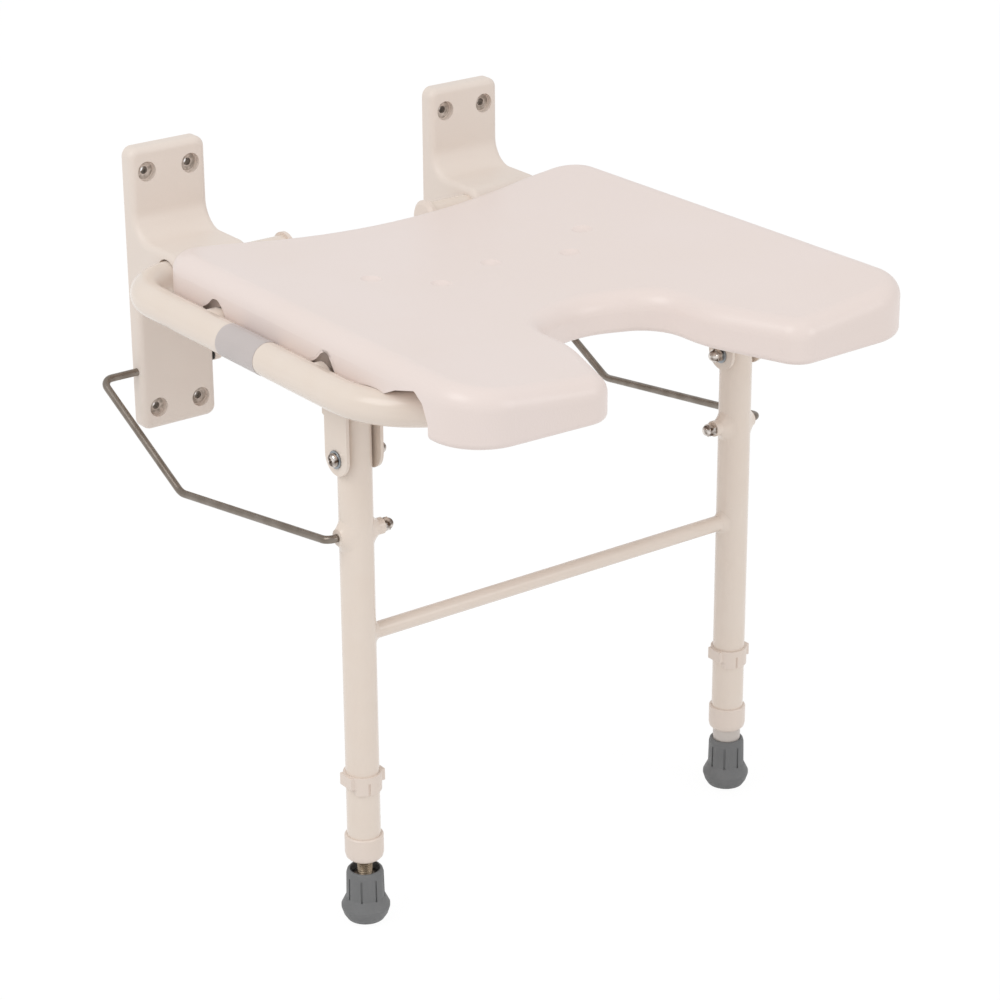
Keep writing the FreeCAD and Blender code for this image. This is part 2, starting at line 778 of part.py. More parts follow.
def screw_places():
    for side, sign in (("left", "-"), ("right", "")):
        for name, out in (("rear", "rear_cross"), ("front", "leg_out")):
            yield sign + "seat_screw_x", out, name + "_" + side


def seat_screws(label):
    # pan-head screws driven up through both walls of each cross tube into the board
    parts = []
    for x, out, name in screw_places():
        head = "pivot_up - cross_radius - bolt_head_height / 2"
        parts.append(fuse("seat_screw_" + name,
                          cylinder("seat_screw_head_" + name, "seat_screw_head",
                                   "bolt_head_height", x, "-" + out, head + " - bolt_head_height / 2"),
                          cylinder("seat_screw_shank_" + name, "seat_screw_shank",
                                   "cross_radius + tube_radius + seat_screw_bite + seat_screw_tip",
                                   x, "-" + out, head)))
    group = doc.addObject("Part::Compound", label)
    group.Links = parts
    return group


def clevis(label, side):
    # a channel folded from plate: web under the cross tube, two cheeks beside the leg
    owner = body(label, side + "leg_x", "-leg_out", "pivot_up")
    inner = "tube_radius + clevis_gap"
    section = sketch(owner, label + "_cheek", "YZ_Plane")
    polygon(section, [
        ("-clevis_cheek", "-leg_pivot_drop - clevis_tip"),
        ("clevis_cheek", "-leg_pivot_drop - clevis_tip"),
        ("clevis_cheek", "-clevis_shoulder_height"),
        ("clevis_shoulder", "-clevis_shoulder_height + clevis_step"),
        ("clevis_shoulder", "-cross_radius + clevis_plate"),
        ("-clevis_cheek", "-cross_radius + clevis_plate"),
    ])
    base = pad(owner, label + "_plate", section, "2 * (%s + clevis_plate)" % inner, both=True)
    tip = -size("leg_pivot_drop") - size("clevis_tip")
    step = rounded(owner, label + "_rounded", base, "clevis_cheek - round_margin",
                   lambda e: along(e, X_AXIS) and near(e.Vertexes[0].Z, tip))
    opening = sketch(owner, label + "_opening", "XZ_Plane")
    rectangle(opening, "-(%s)" % inner, inner, "-leg_pivot_drop - 2 * clevis_tip",
              "-cross_radius - clevis_plate")
    pocket(owner, label + "_channel", opening, "4 * clevis_shoulder", both=True)
    ways = sketch(owner, label + "_ways", "YZ_Plane")
    circle(ways, "0", "0", "cross_radius")
    circle(ways, "0", "-leg_pivot_drop", "bolt_radius + bolt_play")
    pocket(owner, label + "_bored", ways, "8 * tube_radius", both=True)
    return owner


def dome_nut(label, x, y, z, axis):
    # hexagon with a dome, its seat at the given point, pointing along the axis
    hexagon = doc.addObject("Part::Prism", label + "_hexagon")
    hexagon.Polygon = 6
    bind(hexagon, "Circumradius", "nut_flats / sqrt(3)")
    bind(hexagon, "Height", "nut_height")
    place(hexagon, x, y, z, axis)
    dome = doc.addObject("Part::Sphere", label + "_ball")
    bind(dome, "Radius", "dome_radius")
    reach = {"X": "+ nut_height", "-X": "- nut_height"}[axis]
    place(dome, x + reach, y, z)
    shape = fuse(label + "_solid", hexagon, dome)
    thread = cylinder(label + "_thread", "bolt_radius", "nut_height + bolt_radius",
                      x + {"X": "- thread_start", "-X": "+ thread_start"}[axis], y, z, axis)
    return cut(label, shape, thread)


def leg_bolt(label, side):
    # the head bears on a washer outboard and the thread ends in the dome nut inboard
    outward = "X" if side == "" else "-X"
    sign = "+" if side == "" else "-"
    inner = "tube_radius + clevis_gap + clevis_plate"
    start = side + "leg_x %s (%s + washer_thickness)" % (sign, inner)
    head = cylinder(label + "_head", "bolt_head_radius", "bolt_head_height",
                    start, "-leg_out", LEG_PIVOT_Z, outward)
    reach = "2 * (%s) + washer_thickness + nut_height" % inner
    far = side + "leg_x %s (%s + nut_height)" % ({"+": "-", "-": "+"}[sign], inner)
    shank = cylinder(label + "_shank", "bolt_radius", reach, far, "-leg_out", LEG_PIVOT_Z, outward)
    return fuse(label, head, shank)


def leg_washer(label, side):
    outward = "X" if side == "" else "-X"
    sign = "+" if side == "" else "-"
    start = side + "leg_x %s (tube_radius + clevis_gap + clevis_plate)" % sign
    return cut(label,
               cylinder(label + "_disc", "washer_radius", "washer_thickness",
                        start, "-leg_out", LEG_PIVOT_Z, outward),
               cylinder(label + "_hole", "bolt_radius + bolt_play", "washer_thickness",
                        start, "-leg_out", LEG_PIVOT_Z, outward))


def leg_nut(label, side):
    inward = "-X" if side == "" else "X"
    sign = "-" if side == "" else "+"
    seat = side + "leg_x %s (tube_radius + clevis_gap + clevis_plate)" % sign
    return dome_nut(label, seat, "-leg_out", LEG_PIVOT_Z, inward)


def leg_tube(label, side):
    x = side + "leg_x"
    length = "leg_foot_end + leg_head"
    pipe_ = cut(label + "_pipe",
                cylinder(label + "_outer", "tube_radius", length, x, "-leg_out", LEG_END_Z),
                cylinder(label + "_inner", "tube_radius - tube_wall", length, x, "-leg_out", LEG_END_Z))
    return cut(label, pipe_,
               cylinder(label + "_pivot_way", "bolt_radius + bolt_play", "4 * tube_radius",
                        x + " - 2 * tube_radius", "-leg_out", LEG_PIVOT_Z, "X"),
               cylinder(label + "_boss_way", "boss_radius", "4 * tube_radius",
                        x + " - 2 * tube_radius", "-leg_out", STAY_PEG_Z, "X"),
               cylinder(label + "_clip_way", "clip_peg + bolt_play", "2 * tube_radius",
                        x, "-leg_out", CLIP_Z, "Y"))


def leg_crossbar(label):
    z = "pivot_up - leg_pivot_drop - crossbar_drop"
    return cut(label,
               cylinder(label + "_rod", "crossbar_radius", "2 * leg_x", "-leg_x", "-leg_out", z, "X"),
               cylinder(label + "_saddle_left", "tube_radius", "8 * crossbar_radius",
                        "-leg_x", "-leg_out", z + " - 4 * crossbar_radius"),
               cylinder(label + "_saddle_right", "tube_radius", "8 * crossbar_radius",
                        "leg_x", "-leg_out", z + " - 4 * crossbar_radius"))


def stay_boss(label, side):
    # a sleeve welded through the leg, in which the end of the stay turns
    outward = "X" if side == "" else "-X"
    sign = "-" if side == "" else "+"
    start = side + "leg_x %s boss_in" % sign
    return cut(label,
               cylinder(label + "_sleeve", "boss_radius", "boss_in + boss_out",
                        start, "-leg_out", STAY_PEG_Z, outward),
               cylinder(label + "_bore", "stay_rod + running_gap", "boss_in + boss_out",
                        start, "-leg_out", STAY_PEG_Z, outward))


def stay_peg(label, side):
    outward = "X" if side == "" else "-X"
    sign = "-" if side == "" else "+"
    start = side + "leg_x %s (boss_in + nut_height)" % sign
    return cylinder(label, "stay_rod", "boss_in + boss_out + nut_height + peg_proud",
                    start, "-leg_out", STAY_PEG_Z, outward)


def stay_nut(label, side):
    inward = "-X" if side == "" else "X"
    sign = "-" if side == "" else "+"
    return dome_nut(label, side + "leg_x %s boss_in" % sign, "-leg_out", STAY_PEG_Z, inward)


def stay_rod(label, side):
    # one bent rod: through the bracket, down to its elbow, forward to the leg and in again
    peg_z = size("pivot_up") - size("leg_pivot_drop") - size("stay_drop")
    inner = size("bracket_spacing") / 2 - size("bracket_width") / 2 - size("stay_cap_length")
    start_x = side * (inner + size("stay_cap_wall"))
    end_x = side * (size("leg_x") + size("boss_out") + size("stay_end_gap"))
    route = [
        Vector(start_x, -size("stay_wall_out"), -size("stay_wall_z")),
        Vector(side * size("stay_x"), -size("stay_wall_out"), -size("stay_wall_z")),
        Vector(side * size("stay_x"), -size("stay_elbow_out"), -size("stay_elbow_z")),
        Vector(side * size("stay_leg_x"), -size("leg_out"), peg_z),
        Vector(end_x, -size("leg_out"), peg_z),
    ]
    bends = [0, size("stay_bend"), size("stay_elbow_bend"), size("stay_end_bend"), 0]
    return feature(label, pipe(rounded_path(route, bends), size("stay_rod")))


def stay_cap(label, side):
    # a push-on cap that keeps the stay from leaving the bracket
    inward = "-X" if side == "" else "X"
    sign = "-" if side == "" else "+"
    face = side + "(bracket_spacing / 2 - bracket_width / 2 - tube_seat_gap)"
    y, z = "-stay_wall_out", "-stay_wall_z"
    outer = fuse(label + "_outer",
                 cylinder(label + "_skirt", "stay_cap_radius", "stay_cap_length - stay_cap_end",
                          face, y, z, inward),
                 dome(label + "_end", "stay_cap_dome",
                      face + " %s (stay_cap_length - stay_cap_end)" % sign, y, z))
    return cut(label, outer,
               cylinder(label + "_socket", "stay_rod", "stay_cap_length - stay_cap_wall", face, y, z, inward))


def dome(label, radius, x, y, z):
    made = doc.addObject("Part::Sphere", label)
    bind(made, "Radius", radius)
    return place(made, x, y, z)


def height_clip(label, side):
    # a split plastic ring with two finger lugs, a slotted tongue in front and a peg behind
    x = side + "leg_x"
    low = CLIP_Z + " - clip_height / 2"
    ring = fuse(label + "_ring",
                cylinder(label + "_band", "clip_radius", "clip_height", x, "-leg_out", low),
                box(label + "_lugs", "2 * clip_lug", "clip_radius", "clip_lug_height",
                    x + " - clip_lug", "-leg_out - clip_radius / 2",
                    low + " + clip_tongue_drop + clip_lug_rise - clip_lug_drop"))
    hollow = cut(label + "_hollow", ring,
                 cylinder(label + "_bore", "tube_radius + running_gap", "clip_height",
                          x, "-leg_out", low),
                 box(label + "_slot", "clip_slot", "clip_radius", "clip_height - clip_tongue_drop",
                     x + " - clip_slot / 2 - clip_slot_shift",
                     "-leg_out - 2 * clip_radius + clip_slot_floor", low),
                 box(label + "_past_left", "clip_radius", "2 * clip_radius", "clip_tongue_drop",
                     x + " - clip_radius - clip_tongue", "-leg_out - clip_radius", low),
                 box(label + "_past_right", "clip_radius", "2 * clip_radius", "clip_tongue_drop",
                     x + " + clip_tongue", "-leg_out - clip_radius", low),
                 box(label + "_past_rear", "2 * clip_radius", "clip_radius", "clip_tongue_drop",
                     x + " - clip_radius", "-leg_out", low))
    peg = cylinder(label + "_peg", "clip_peg", "tube_wall + clip_peg_root",
                   x, "-leg_out + tube_radius - tube_wall + clip_peg_gap", CLIP_Z, "Y")
    return fuse(label, hollow, peg)


def leg_collar(label, side):
    # a cup on the end of the leg that guides the sliding leg, turned about the leg's axis
    owner = body(label, side + "leg_x", "-leg_out", LEG_END_Z)
    profile = sketch(owner, label + "_profile", "XZ_Plane")
    slide = "tube_radius - tube_wall + running_gap"
    polygon(profile, [
        (slide, "-collar_lip"),
        ("collar_radius - collar_toe", "-collar_lip"),
        ("collar_radius - collar_heel", "-collar_lip + collar_heel_rise"),
        ("collar_radius", "-collar_lip + collar_side_rise"),
        ("collar_radius", "collar_height - collar_lip - collar_rim_drop"),
        ("collar_radius - collar_rim_inset", "collar_height - collar_lip"),
        ("tube_radius + running_gap", "collar_height - collar_lip"),
        ("tube_radius + running_gap", "0"),
        (slide, "0"),
    ])
    turned(owner, label + "_turned", profile)
    return owner


def slide_end_z(step):
    # the left leg is fully home and the right one is let down by one hole
    return "pivot_up - leg_pivot_drop - leg_foot_end - collar_lip + slide_rest - %d * hole_pitch" % step


def sliding_leg(label, side, step):
    x = side + "leg_x"
    outer = "tube_radius - tube_wall - running_gap - slide_play"
    base = slide_end_z(step)
    tube_ = cut(label + "_pipe",
                cylinder(label + "_outer", outer, SLIDE_LENGTH, x, "-leg_out", base),
                cylinder(label + "_inner", outer + " - slide_wall", SLIDE_LENGTH,
                         x, "-leg_out", base))
    holes = []
    for k in range(8):
        height = CLIP_Z + " + %d * hole_pitch" % (k - step)
        holes.append(cylinder(label + "_hole_%d" % (k + 1), "clip_peg + bolt_play", "tube_radius",
                              x, "-leg_out", height, "Y"))
    return cut(label, tube_, *holes)


def slide_plug(label, side, step):
    # the threaded plug in the end of the sliding leg, which the foot's stem screws through
    x = side + "leg_x"
    base = slide_end_z(step)
    outer = "tube_radius - tube_wall - running_gap - slide_play - slide_wall"
    return cut(label,
               cylinder(label + "_disc", outer, "slide_plug", x, "-leg_out", base),
               cylinder(label + "_thread", "stem_radius + running_gap", "slide_plug",
                        x, "-leg_out", base))


def ferrule(label, side):
    # a rubber foot turned about the leg's axis, with fine slots down its body
    owner = body(label, side + "leg_x", "-leg_out", FLOOR_Z)
    profile = sketch(owner, label + "_profile", "XZ_Plane")
    polygon(profile, [
        ("0", "0"),
        ("ferrule_foot - ferrule_sole_edge", "0"),
        ("ferrule_foot", "ferrule_sole_rise"),
        ("ferrule_foot + ferrule_flare", "ferrule_flare_rise"),
        ("ferrule_flange", "ferrule_flange_height - ferrule_flange_edge"),
        ("ferrule_flange", "ferrule_flange_height - ferrule_flange_lip"),
        ("ferrule_body + ferrule_neck", "ferrule_flange_height + ferrule_neck_rise"),
        ("ferrule_body", "ferrule_flange_height + ferrule_body_rise"),
        ("ferrule_top", "ferrule_height - ferrule_rim_drop"),
        ("ferrule_top - ferrule_rim_corner", "ferrule_height - ferrule_rim_low"),
        ("ferrule_top - ferrule_rim_inset", "ferrule_height"),
        ("ferrule_cup", "ferrule_height"),
        ("ferrule_cup", "ferrule_height - ferrule_cup_depth"),
        ("0", "ferrule_height - ferrule_cup_depth"),
    ])
    turned(owner, label + "_turned", profile)
    slots = sketch(owner, label + "_slots", "XY_Plane", "ferrule_slot_low")
    for k in range(8):
        across, along_ = math.cos(math.radians(45 * k)), math.sin(math.radians(45 * k))
        corners = []
        for radius in ("(ferrule_body - ferrule_slot_depth)", "(2 * ferrule_body)"):
            for half in ("ferrule_slot / 2", "-ferrule_slot / 2"):
                corners.append(("%s * %.9f - (%s) * %.9f" % (radius, across, half, along_),
                                "%s * %.9f + (%s) * %.9f" % (radius, along_, half, across)))
        polygon(slots, [corners[0], corners[1], corners[3], corners[2]])
    pocket(owner, label + "_slotted", slots, "ferrule_slot_length", flip=True)
    return owner


def foot_stem(label, side):
    x = side + "leg_x"
    base = FLOOR_Z + " + ferrule_height - ferrule_cup_depth"
    return fuse(label,
                cylinder(label + "_flange", "stem_flange", "stem_flange_height", x, "-leg_out", base),
                cylinder(label + "_screw", "stem_radius", "stem_length", x, "-leg_out", base))


nodes = []
for name, sign, value in (("left", "-", -1.0), ("right", "", 1.0)):
    step = 0 if name == "left" else 1
    nodes += [
        moulded_bracket(name + "_wall_bracket", sign),
        bent_frame_tube(name + "_frame_tube", value),
        frame_end_cap(name + "_frame_end_cap", sign),
        clevis(name + "_leg_clevis", sign),
        leg_bolt(name + "_leg_bolt", sign),
        leg_washer(name + "_leg_washer", sign),
        leg_nut(name + "_leg_nut", sign),
        leg_tube(name + "_leg_tube", sign),
        stay_boss(name + "_stay_boss", sign),
        stay_peg(name + "_stay_peg", sign),
        stay_nut(name + "_stay_nut", sign),
        stay_rod(name + "_stay_rod", value),
        stay_cap(name + "_stay_cap", sign),
        height_clip(name + "_height_clip", sign),
        leg_collar(name + "_leg_collar", sign),
        sliding_leg(name + "_sliding_leg", sign, step),
        slide_plug(name + "_slide_plug", sign, step),
        ferrule(name + "_ferrule", sign),
        foot_stem(name + "_foot_stem", sign),
    ]
nodes += [
    cross_tube("rear_cross_tube", "rear_cross"),
    cross_tube("front_cross_tube", "leg_out"),
    seat_board("seat_board"),
    seat_screws("seat_screws"),
    leg_crossbar("leg_crossbar"),
]
doc.recompute()

for obj in doc.Objects:
    if "Invalid" in obj.State or "Error" in obj.State:
        raise RuntimeError(obj.Label + " did not compute")
os.makedirs("parts", exist_ok=True)
for node in nodes:
    shape = node.Shape
    if shape.isNull() or not shape.isValid():
        raise RuntimeError(node.Label + " has no valid shape")
    shape.exportStep("parts/" + node.Label + ".step")
    box_ = shape.BoundBox
    print("%-24s solids %d volume %10.1f x %7.1f %7.1f y %7.1f %7.1f z %7.1f %7.1f" % (
        node.Label, len(shape.Solids), shape.Volume, box_.XMin, box_.XMax, box_.YMin, box_.YMax,
        box_.ZMin, box_.ZMax))
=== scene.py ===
import bpy
import bmesh
import json
import math
from mathutils import Matrix, Vector


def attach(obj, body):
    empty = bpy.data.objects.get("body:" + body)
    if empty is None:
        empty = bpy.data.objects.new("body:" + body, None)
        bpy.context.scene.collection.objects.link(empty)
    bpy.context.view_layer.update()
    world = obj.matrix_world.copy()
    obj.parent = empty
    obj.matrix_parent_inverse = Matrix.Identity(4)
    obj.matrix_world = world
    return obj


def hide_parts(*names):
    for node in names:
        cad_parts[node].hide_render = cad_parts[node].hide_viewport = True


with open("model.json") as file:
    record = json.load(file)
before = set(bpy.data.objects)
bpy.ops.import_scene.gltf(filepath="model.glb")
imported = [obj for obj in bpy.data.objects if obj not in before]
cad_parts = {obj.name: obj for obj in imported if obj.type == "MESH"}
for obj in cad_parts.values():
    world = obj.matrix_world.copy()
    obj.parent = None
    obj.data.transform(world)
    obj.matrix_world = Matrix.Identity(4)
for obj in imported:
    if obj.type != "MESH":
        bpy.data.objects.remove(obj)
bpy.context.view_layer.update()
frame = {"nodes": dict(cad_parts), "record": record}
scene = bpy.context.scene
nodes = frame["nodes"]
mm = 0.001
sides = {"left": -1.0, "right": 1.0}
print("frame loaded:", len(nodes), "solids")


# shader node helpers

def addNode(tree, kind, settings=None, links=None):
    # settings are the node's own properties or the values of its sockets
    node = tree.nodes.new(kind)
    for key, value in (settings or {}).items():
        if hasattr(node, key) and key not in node.inputs:
            setattr(node, key, value)
        else:
            node.inputs[key].default_value = value
    for key, source in (links or {}).items():
        tree.links.new(source, node.inputs[key])
    return node


def mathNode(tree, operation, a, b, clamp=False):
    node = addNode(tree, "ShaderNodeMath", {"operation": operation, "use_clamp": clamp})
    for slot, value in enumerate((a, b)):
        if isinstance(value, float):
            node.inputs[slot].default_value = value
        else:
            tree.links.new(value, node.inputs[slot])
    return node.outputs[0]


def mixShaders(tree, share, first, second):
    # share is a number or a socket: the first shader shows at 0, the second at 1
    mix = addNode(tree, "ShaderNodeMixShader")
    if isinstance(share, float):
        mix.inputs["Fac"].default_value = share
    else:
        tree.links.new(share, mix.inputs["Fac"])
    for slot, shader in ((1, first), (2, second)):
        tree.links.new(shader.outputs[0], mix.inputs[slot])
    return mix


# camera, floor and light

cameraSet = {
    "azimuth": -36.48, "elevation": 22.76, "roll": -0.34,  # degrees, as the photograph was taken
    "target": (0.2204, 0.0473, -0.2951), "distance": 2.788,
    "lens": 110.93, "sensor": 36.0, "nearest": 0.1, "farthest": 30.0,
}


def makeCamera(c):
    az, el, roll = (math.radians(c[k]) for k in ("azimuth", "elevation", "roll"))
    back = Vector((math.sin(az) * math.cos(el), -math.cos(az) * math.cos(el), math.sin(el)))
    right = (-back).cross(Vector((0, 0, 1))).normalized()
    up = right.cross(-back)
    right, up = (math.cos(roll) * right + math.sin(roll) * up,
                 math.cos(roll) * up - math.sin(roll) * right)
    data = bpy.data.cameras.new("photoCamera")
    data.lens, data.sensor_width = c["lens"], c["sensor"]
    data.clip_start, data.clip_end = c["nearest"], c["farthest"]
    camera = bpy.data.objects.new("photoCamera", data)
    scene.collection.objects.link(camera)
    place = Vector(c["target"]) + back * c["distance"]
    turn = Matrix((right, up, back)).transposed().to_4x4()
    camera.matrix_world = Matrix.Translation(place) @ turn
    scene.camera = camera


studio = {
    "floorDrop": -0.4152,      # just under the feet
    "floorSize": 12.0,
    "floorColor": (0.86, 0.86, 0.86, 1.0),
    "seen": 1.0,               # strength of the white that the camera sees
    "floorGlow": 1.03,
    "shadowShare": 0.07,       # how much of the floor's own shading shows in that white
    "worldFill": 0.76,
    "worldTint": (1.0, 0.985, 0.97, 1.0),
    "lampAim": (0.0, -0.25, -0.1),
    "lamps": [                 # name, place, size, power, tint
        ("keyLeft", (-2.0, -0.5, 2.1), 1.6, 21.0, (1.0, 1.0, 1.0)),
        ("fillRight", (1.3, -3.0, 1.2), 1.3, 11.5, (1.0, 1.0, 1.0)),
    ],
}


def seenRays(tree):
    # 1 for rays that show the backdrop: straight to the camera, mirrored or through glass
    rays = addNode(tree, "ShaderNodeLightPath").outputs
    total = rays["Is Camera Ray"]
    for kind in ("Is Glossy Ray", "Is Transmission Ray"):
        total = mathNode(tree, "ADD", total, rays[kind], clamp=True)
    return total


def makeWorld(s):
    world = bpy.data.worlds.new("softStudio")
    scene.world = world
    world.use_nodes = True
    tree = world.node_tree
    tree.nodes.clear()
    fill = addNode(tree, "ShaderNodeBackground", {"Color": s["worldTint"], "Strength": s["worldFill"]})
    seen = addNode(tree, "ShaderNodeBackground", {"Strength": s["seen"]})
    mix = mixShaders(tree, seenRays(tree), fill, seen)
    addNode(tree, "ShaderNodeOutputWorld", links={"Surface": mix.outputs[0]})


def makeFloor(s):
    mesh = bpy.data.meshes.new("studioFloor")
    half = s["floorSize"] / 2
    corners = [(-half, -half), (half, -half), (half, half), (-half, half)]
    mesh.from_pydata([(x, y, s["floorDrop"]) for x, y in corners], [], [(0, 1, 2, 3)])
    floor = bpy.data.objects.new("studioFloor", mesh)
    scene.collection.objects.link(floor)
    paint = bpy.data.materials.new("studioFloor")
    paint.use_nodes = True
    tree = paint.node_tree
    tree.nodes.clear()
    matt = addNode(tree, "ShaderNodeBsdfDiffuse", {"Color": s["floorColor"]})
    glow = addNode(tree, "ShaderNodeEmission", {"Strength": s["floorGlow"]})
    veil = mixShaders(tree, 1.0 - s["shadowShare"], matt, glow)
    mix = mixShaders(tree, seenRays(tree), matt, veil)
    addNode(tree, "ShaderNodeOutputMaterial", links={"Surface": mix.outputs[0]})
    mesh.materials.append(paint)


def makeLamps(s):
    for name, place, width, power, tint in s["lamps"]:
        lamp = bpy.data.lights.new(name, "AREA")
        lamp.shape, lamp.size, lamp.energy, lamp.color = "SQUARE", width, power, tint
        holder = bpy.data.objects.new(name, lamp)
        scene.collection.objects.link(holder)
        holder.location = place
        aim = Vector(s["lampAim"]) - Vector(place)
        holder.rotation_euler = aim.to_track_quat("-Z", "Y").to_euler()


makeCamera(cameraSet)
makeWorld(studio)
makeFloor(studio)
makeLamps(studio)
scene.view_settings.view_transform = "Standard"
print("camera and studio ready")


# shader node groups that several finishes share

def newGroup(name, inputs, outputs):
    group = bpy.data.node_groups.new(name, "ShaderNodeTree")
    for label, value in inputs.items():
        kind = "NodeSocketFloat" if isinstance(value, float) else "NodeSocketColor"
        made = group.interface.new_socket(label, in_out="INPUT", socket_type=kind)
        made.default_value = value
    for label, kind in outputs.items():
        group.interface.new_socket(label, in_out="OUTPUT", socket_type=kind)
    return group, group.nodes.new("NodeGroupInput").outputs, group.nodes.new("NodeGroupOutput").inputs


def noiseNode(tree, place, size, settings, reach=1.0):
    # noise with features of about the given size, a socket in metres
    scale = mathNode(tree, "DIVIDE", reach, size)
    return addNode(tree, "ShaderNodeTexNoise", settings, {"Vector": place, "Scale": scale})


pebbleSet = {
    "start": {"Grain Size": 0.0016, "Wave Size": 0.09, "Wave Share": 0.25},
    "grain": {"Detail": 2.0, "Roughness": 0.55},
    "wave": {"Detail": 1.0, "Roughness": 0.4},
}


def makePebbleGroup(p):
    # fine moulded pebble and the slow unevenness under it
    group, given, out = newGroup("pebbleGrain", p["start"],
                                 {"Height": "NodeSocketFloat", "Mottle": "NodeSocketFloat"})
    place = addNode(group, "ShaderNodeTexCoord").outputs["Object"]
    grain = noiseNode(group, place, given["Grain Size"], p["grain"])
    wave = noiseNode(group, place, given["Wave Size"], p["wave"])
    slow = mathNode(group, "MULTIPLY", wave.outputs["Fac"], given["Wave Share"])
    group.links.new(mathNode(group, "ADD", grain.outputs["Fac"], slow), out["Height"])
    group.links.new(wave.outputs["Fac"], out["Mottle"])
    return group


handlingSet = {
    "start": {"Smear Size": 0.05, "Scratch Size": 0.004, "Scratch Amount": 0.2},
    "smear": {"Detail": 4.0, "Roughness": 0.6, "Distortion": 0.6},
    "stretch": {"Scale": (1.0, 14.0, 9.0), "Rotation": (0.3, 0.2, 0.9)},    # draws the noise out into hairs
    "hair": {"Detail": 3.0, "Roughness": 0.7},
    "hairReach": 0.12,
    "thin": {"From Min": 0.62, "From Max": 0.70},                           # keeps the peaks alone
}


def makeHandlingGroup(h):
    # faint marks of use: soft smears and a few hairline scratches
    group, given, out = newGroup("handlingMarks", h["start"],
                                 {"Smear": "NodeSocketFloat", "Scratch": "NodeSocketFloat"})
    place = addNode(group, "ShaderNodeTexCoord").outputs["Object"]
    smear = noiseNode(group, place, given["Smear Size"], h["smear"])
    stretch = addNode(group, "ShaderNodeMapping", h["stretch"], {"Vector": place})
    hair = noiseNode(group, stretch.outputs[0], given["Scratch Size"], h["hair"], h["hairReach"])
    thin = addNode(group, "ShaderNodeMapRange", h["thin"], {"Value": hair.outputs["Fac"]})
    group.links.new(smear.outputs["Fac"], out["Smear"])
    scratch = mathNode(group, "MULTIPLY", thin.outputs[0], given["Scratch Amount"])
    group.links.new(scratch, out["Scratch"])
    return group


tintSet = {
    "start": {"Base": (0.8, 0.7, 0.65, 1), "Second Tone": (0.8, 0.68, 0.6, 1), "Mask": 0.5, "Amount": 0.5},
    "spread": {"From Min": 0.35, "From Max": 0.65},
    "mixFactor": 0, "mixFirst": 6, "mixSecond": 7, "mixResult": 2,          # colour sockets of the mix node
}


def makeTintGroup(t):
    # a base colour that drifts towards a second tone: a warmer or a cooler tone in most finishes, painted
    # shade in the recess and bore finishes, painted reflection in the zinc finish
    group, given, out = newGroup("tintDriftAndPaintedLight", t["start"], {"Color": "NodeSocketColor"})
    spread = addNode(group, "ShaderNodeMapRange", t["spread"], {"Value": given["Mask"]})
    share = mathNode(group, "MULTIPLY", spread.outputs[0], given["Amount"])
    mix = addNode(group, "ShaderNodeMix", {"data_type": "RGBA"})
    group.links.new(share, mix.inputs[t["mixFactor"]])
    group.links.new(given["Base"], mix.inputs[t["mixFirst"]])
    group.links.new(given["Second Tone"], mix.inputs[t["mixSecond"]])
    group.links.new(mix.outputs[t["mixResult"]], out["Color"])
    return group


pebbleGroup = makePebbleGroup(pebbleSet)
handlingGroup = makeHandlingGroup(handlingSet)
tintGroup = makeTintGroup(tintSet)


# finishes

finishes = {}
smearSpan = {"From Min": 0.3, "From Max": 0.7}     # the part of the smears that moves the gloss


def placeGroup(tree, group, values, links=None):
    return addNode(tree, "ShaderNodeGroup", {"node_tree": group, **values}, links)


def paintedFinish(name, v):
    # moulded, coated or plated surface: tint drift, uneven gloss and a grain bump; the drift is painted
    # shade in the recess and bore finishes and painted reflection in the zinc finish
    finish = bpy.data.materials.new(name)
    finish.use_nodes = True
    finishes[name] = finish
    tree = finish.node_tree
    shader = tree.nodes["Principled BSDF"].inputs
    for key, value in v["shader"].items():
        shader[key].default_value = value
    grain = placeGroup(tree, pebbleGroup, {"Grain Size": v["grain"], "Wave Size": v["wave"],
                                           "Wave Share": v["waveShare"]})
    marks = placeGroup(tree, handlingGroup, {"Smear Size": v["smear"], "Scratch Amount": v["scratch"]})
    tint = placeGroup(tree, tintGroup, {"Base": v["base"] + (1,), "Second Tone": v["secondTone"] + (1,),
                                        "Amount": v["drift"]}, {"Mask": grain.outputs["Mottle"]})
    tree.links.new(tint.outputs["Color"], shader["Base Color"])
    gloss = addNode(tree, "ShaderNodeMapRange",
                    {**smearSpan, "To Min": v["gloss"][0], "To Max": v["gloss"][1]},
                    {"Value": marks.outputs["Smear"]})
    rough = mathNode(tree, "ADD", gloss.outputs[0], marks.outputs["Scratch"])
    tree.links.new(rough, shader["Roughness"])
    bump = addNode(tree, "ShaderNodeBump", {"Strength": v["bump"], "Distance": v["depth"]},
                   {"Height": grain.outputs["Height"]})
    tree.links.new(bump.outputs[0], shader["Normal"])


paintedFinish("bracketPlastic", {
    "base": (0.815, 0.73, 0.665), "secondTone": (0.79, 0.695, 0.625), "drift": 0.35,
    "grain": 0.0012, "wave": 0.06, "waveShare": 0.3, "smear": 0.05, "scratch": 0.03,
    "gloss": (0.38, 0.46), "bump": 0.10, "depth": 0.0006,
    "shader": {"Specular IOR Level": 0.45}})

# painted shade for the floor of the screw recesses
paintedFinish("shadedRecess", {
    "base": (0.66, 0.58, 0.52), "secondTone": (0.34, 0.29, 0.245), "drift": 1.0,
    "grain": 0.0012, "wave": 0.004, "waveShare": 1.0, "smear": 0.01, "scratch": 0.1,
    "gloss": (0.45, 0.6), "bump": 0.5, "depth": 0.0008,
    "shader": {"Specular IOR Level": 0.35}})

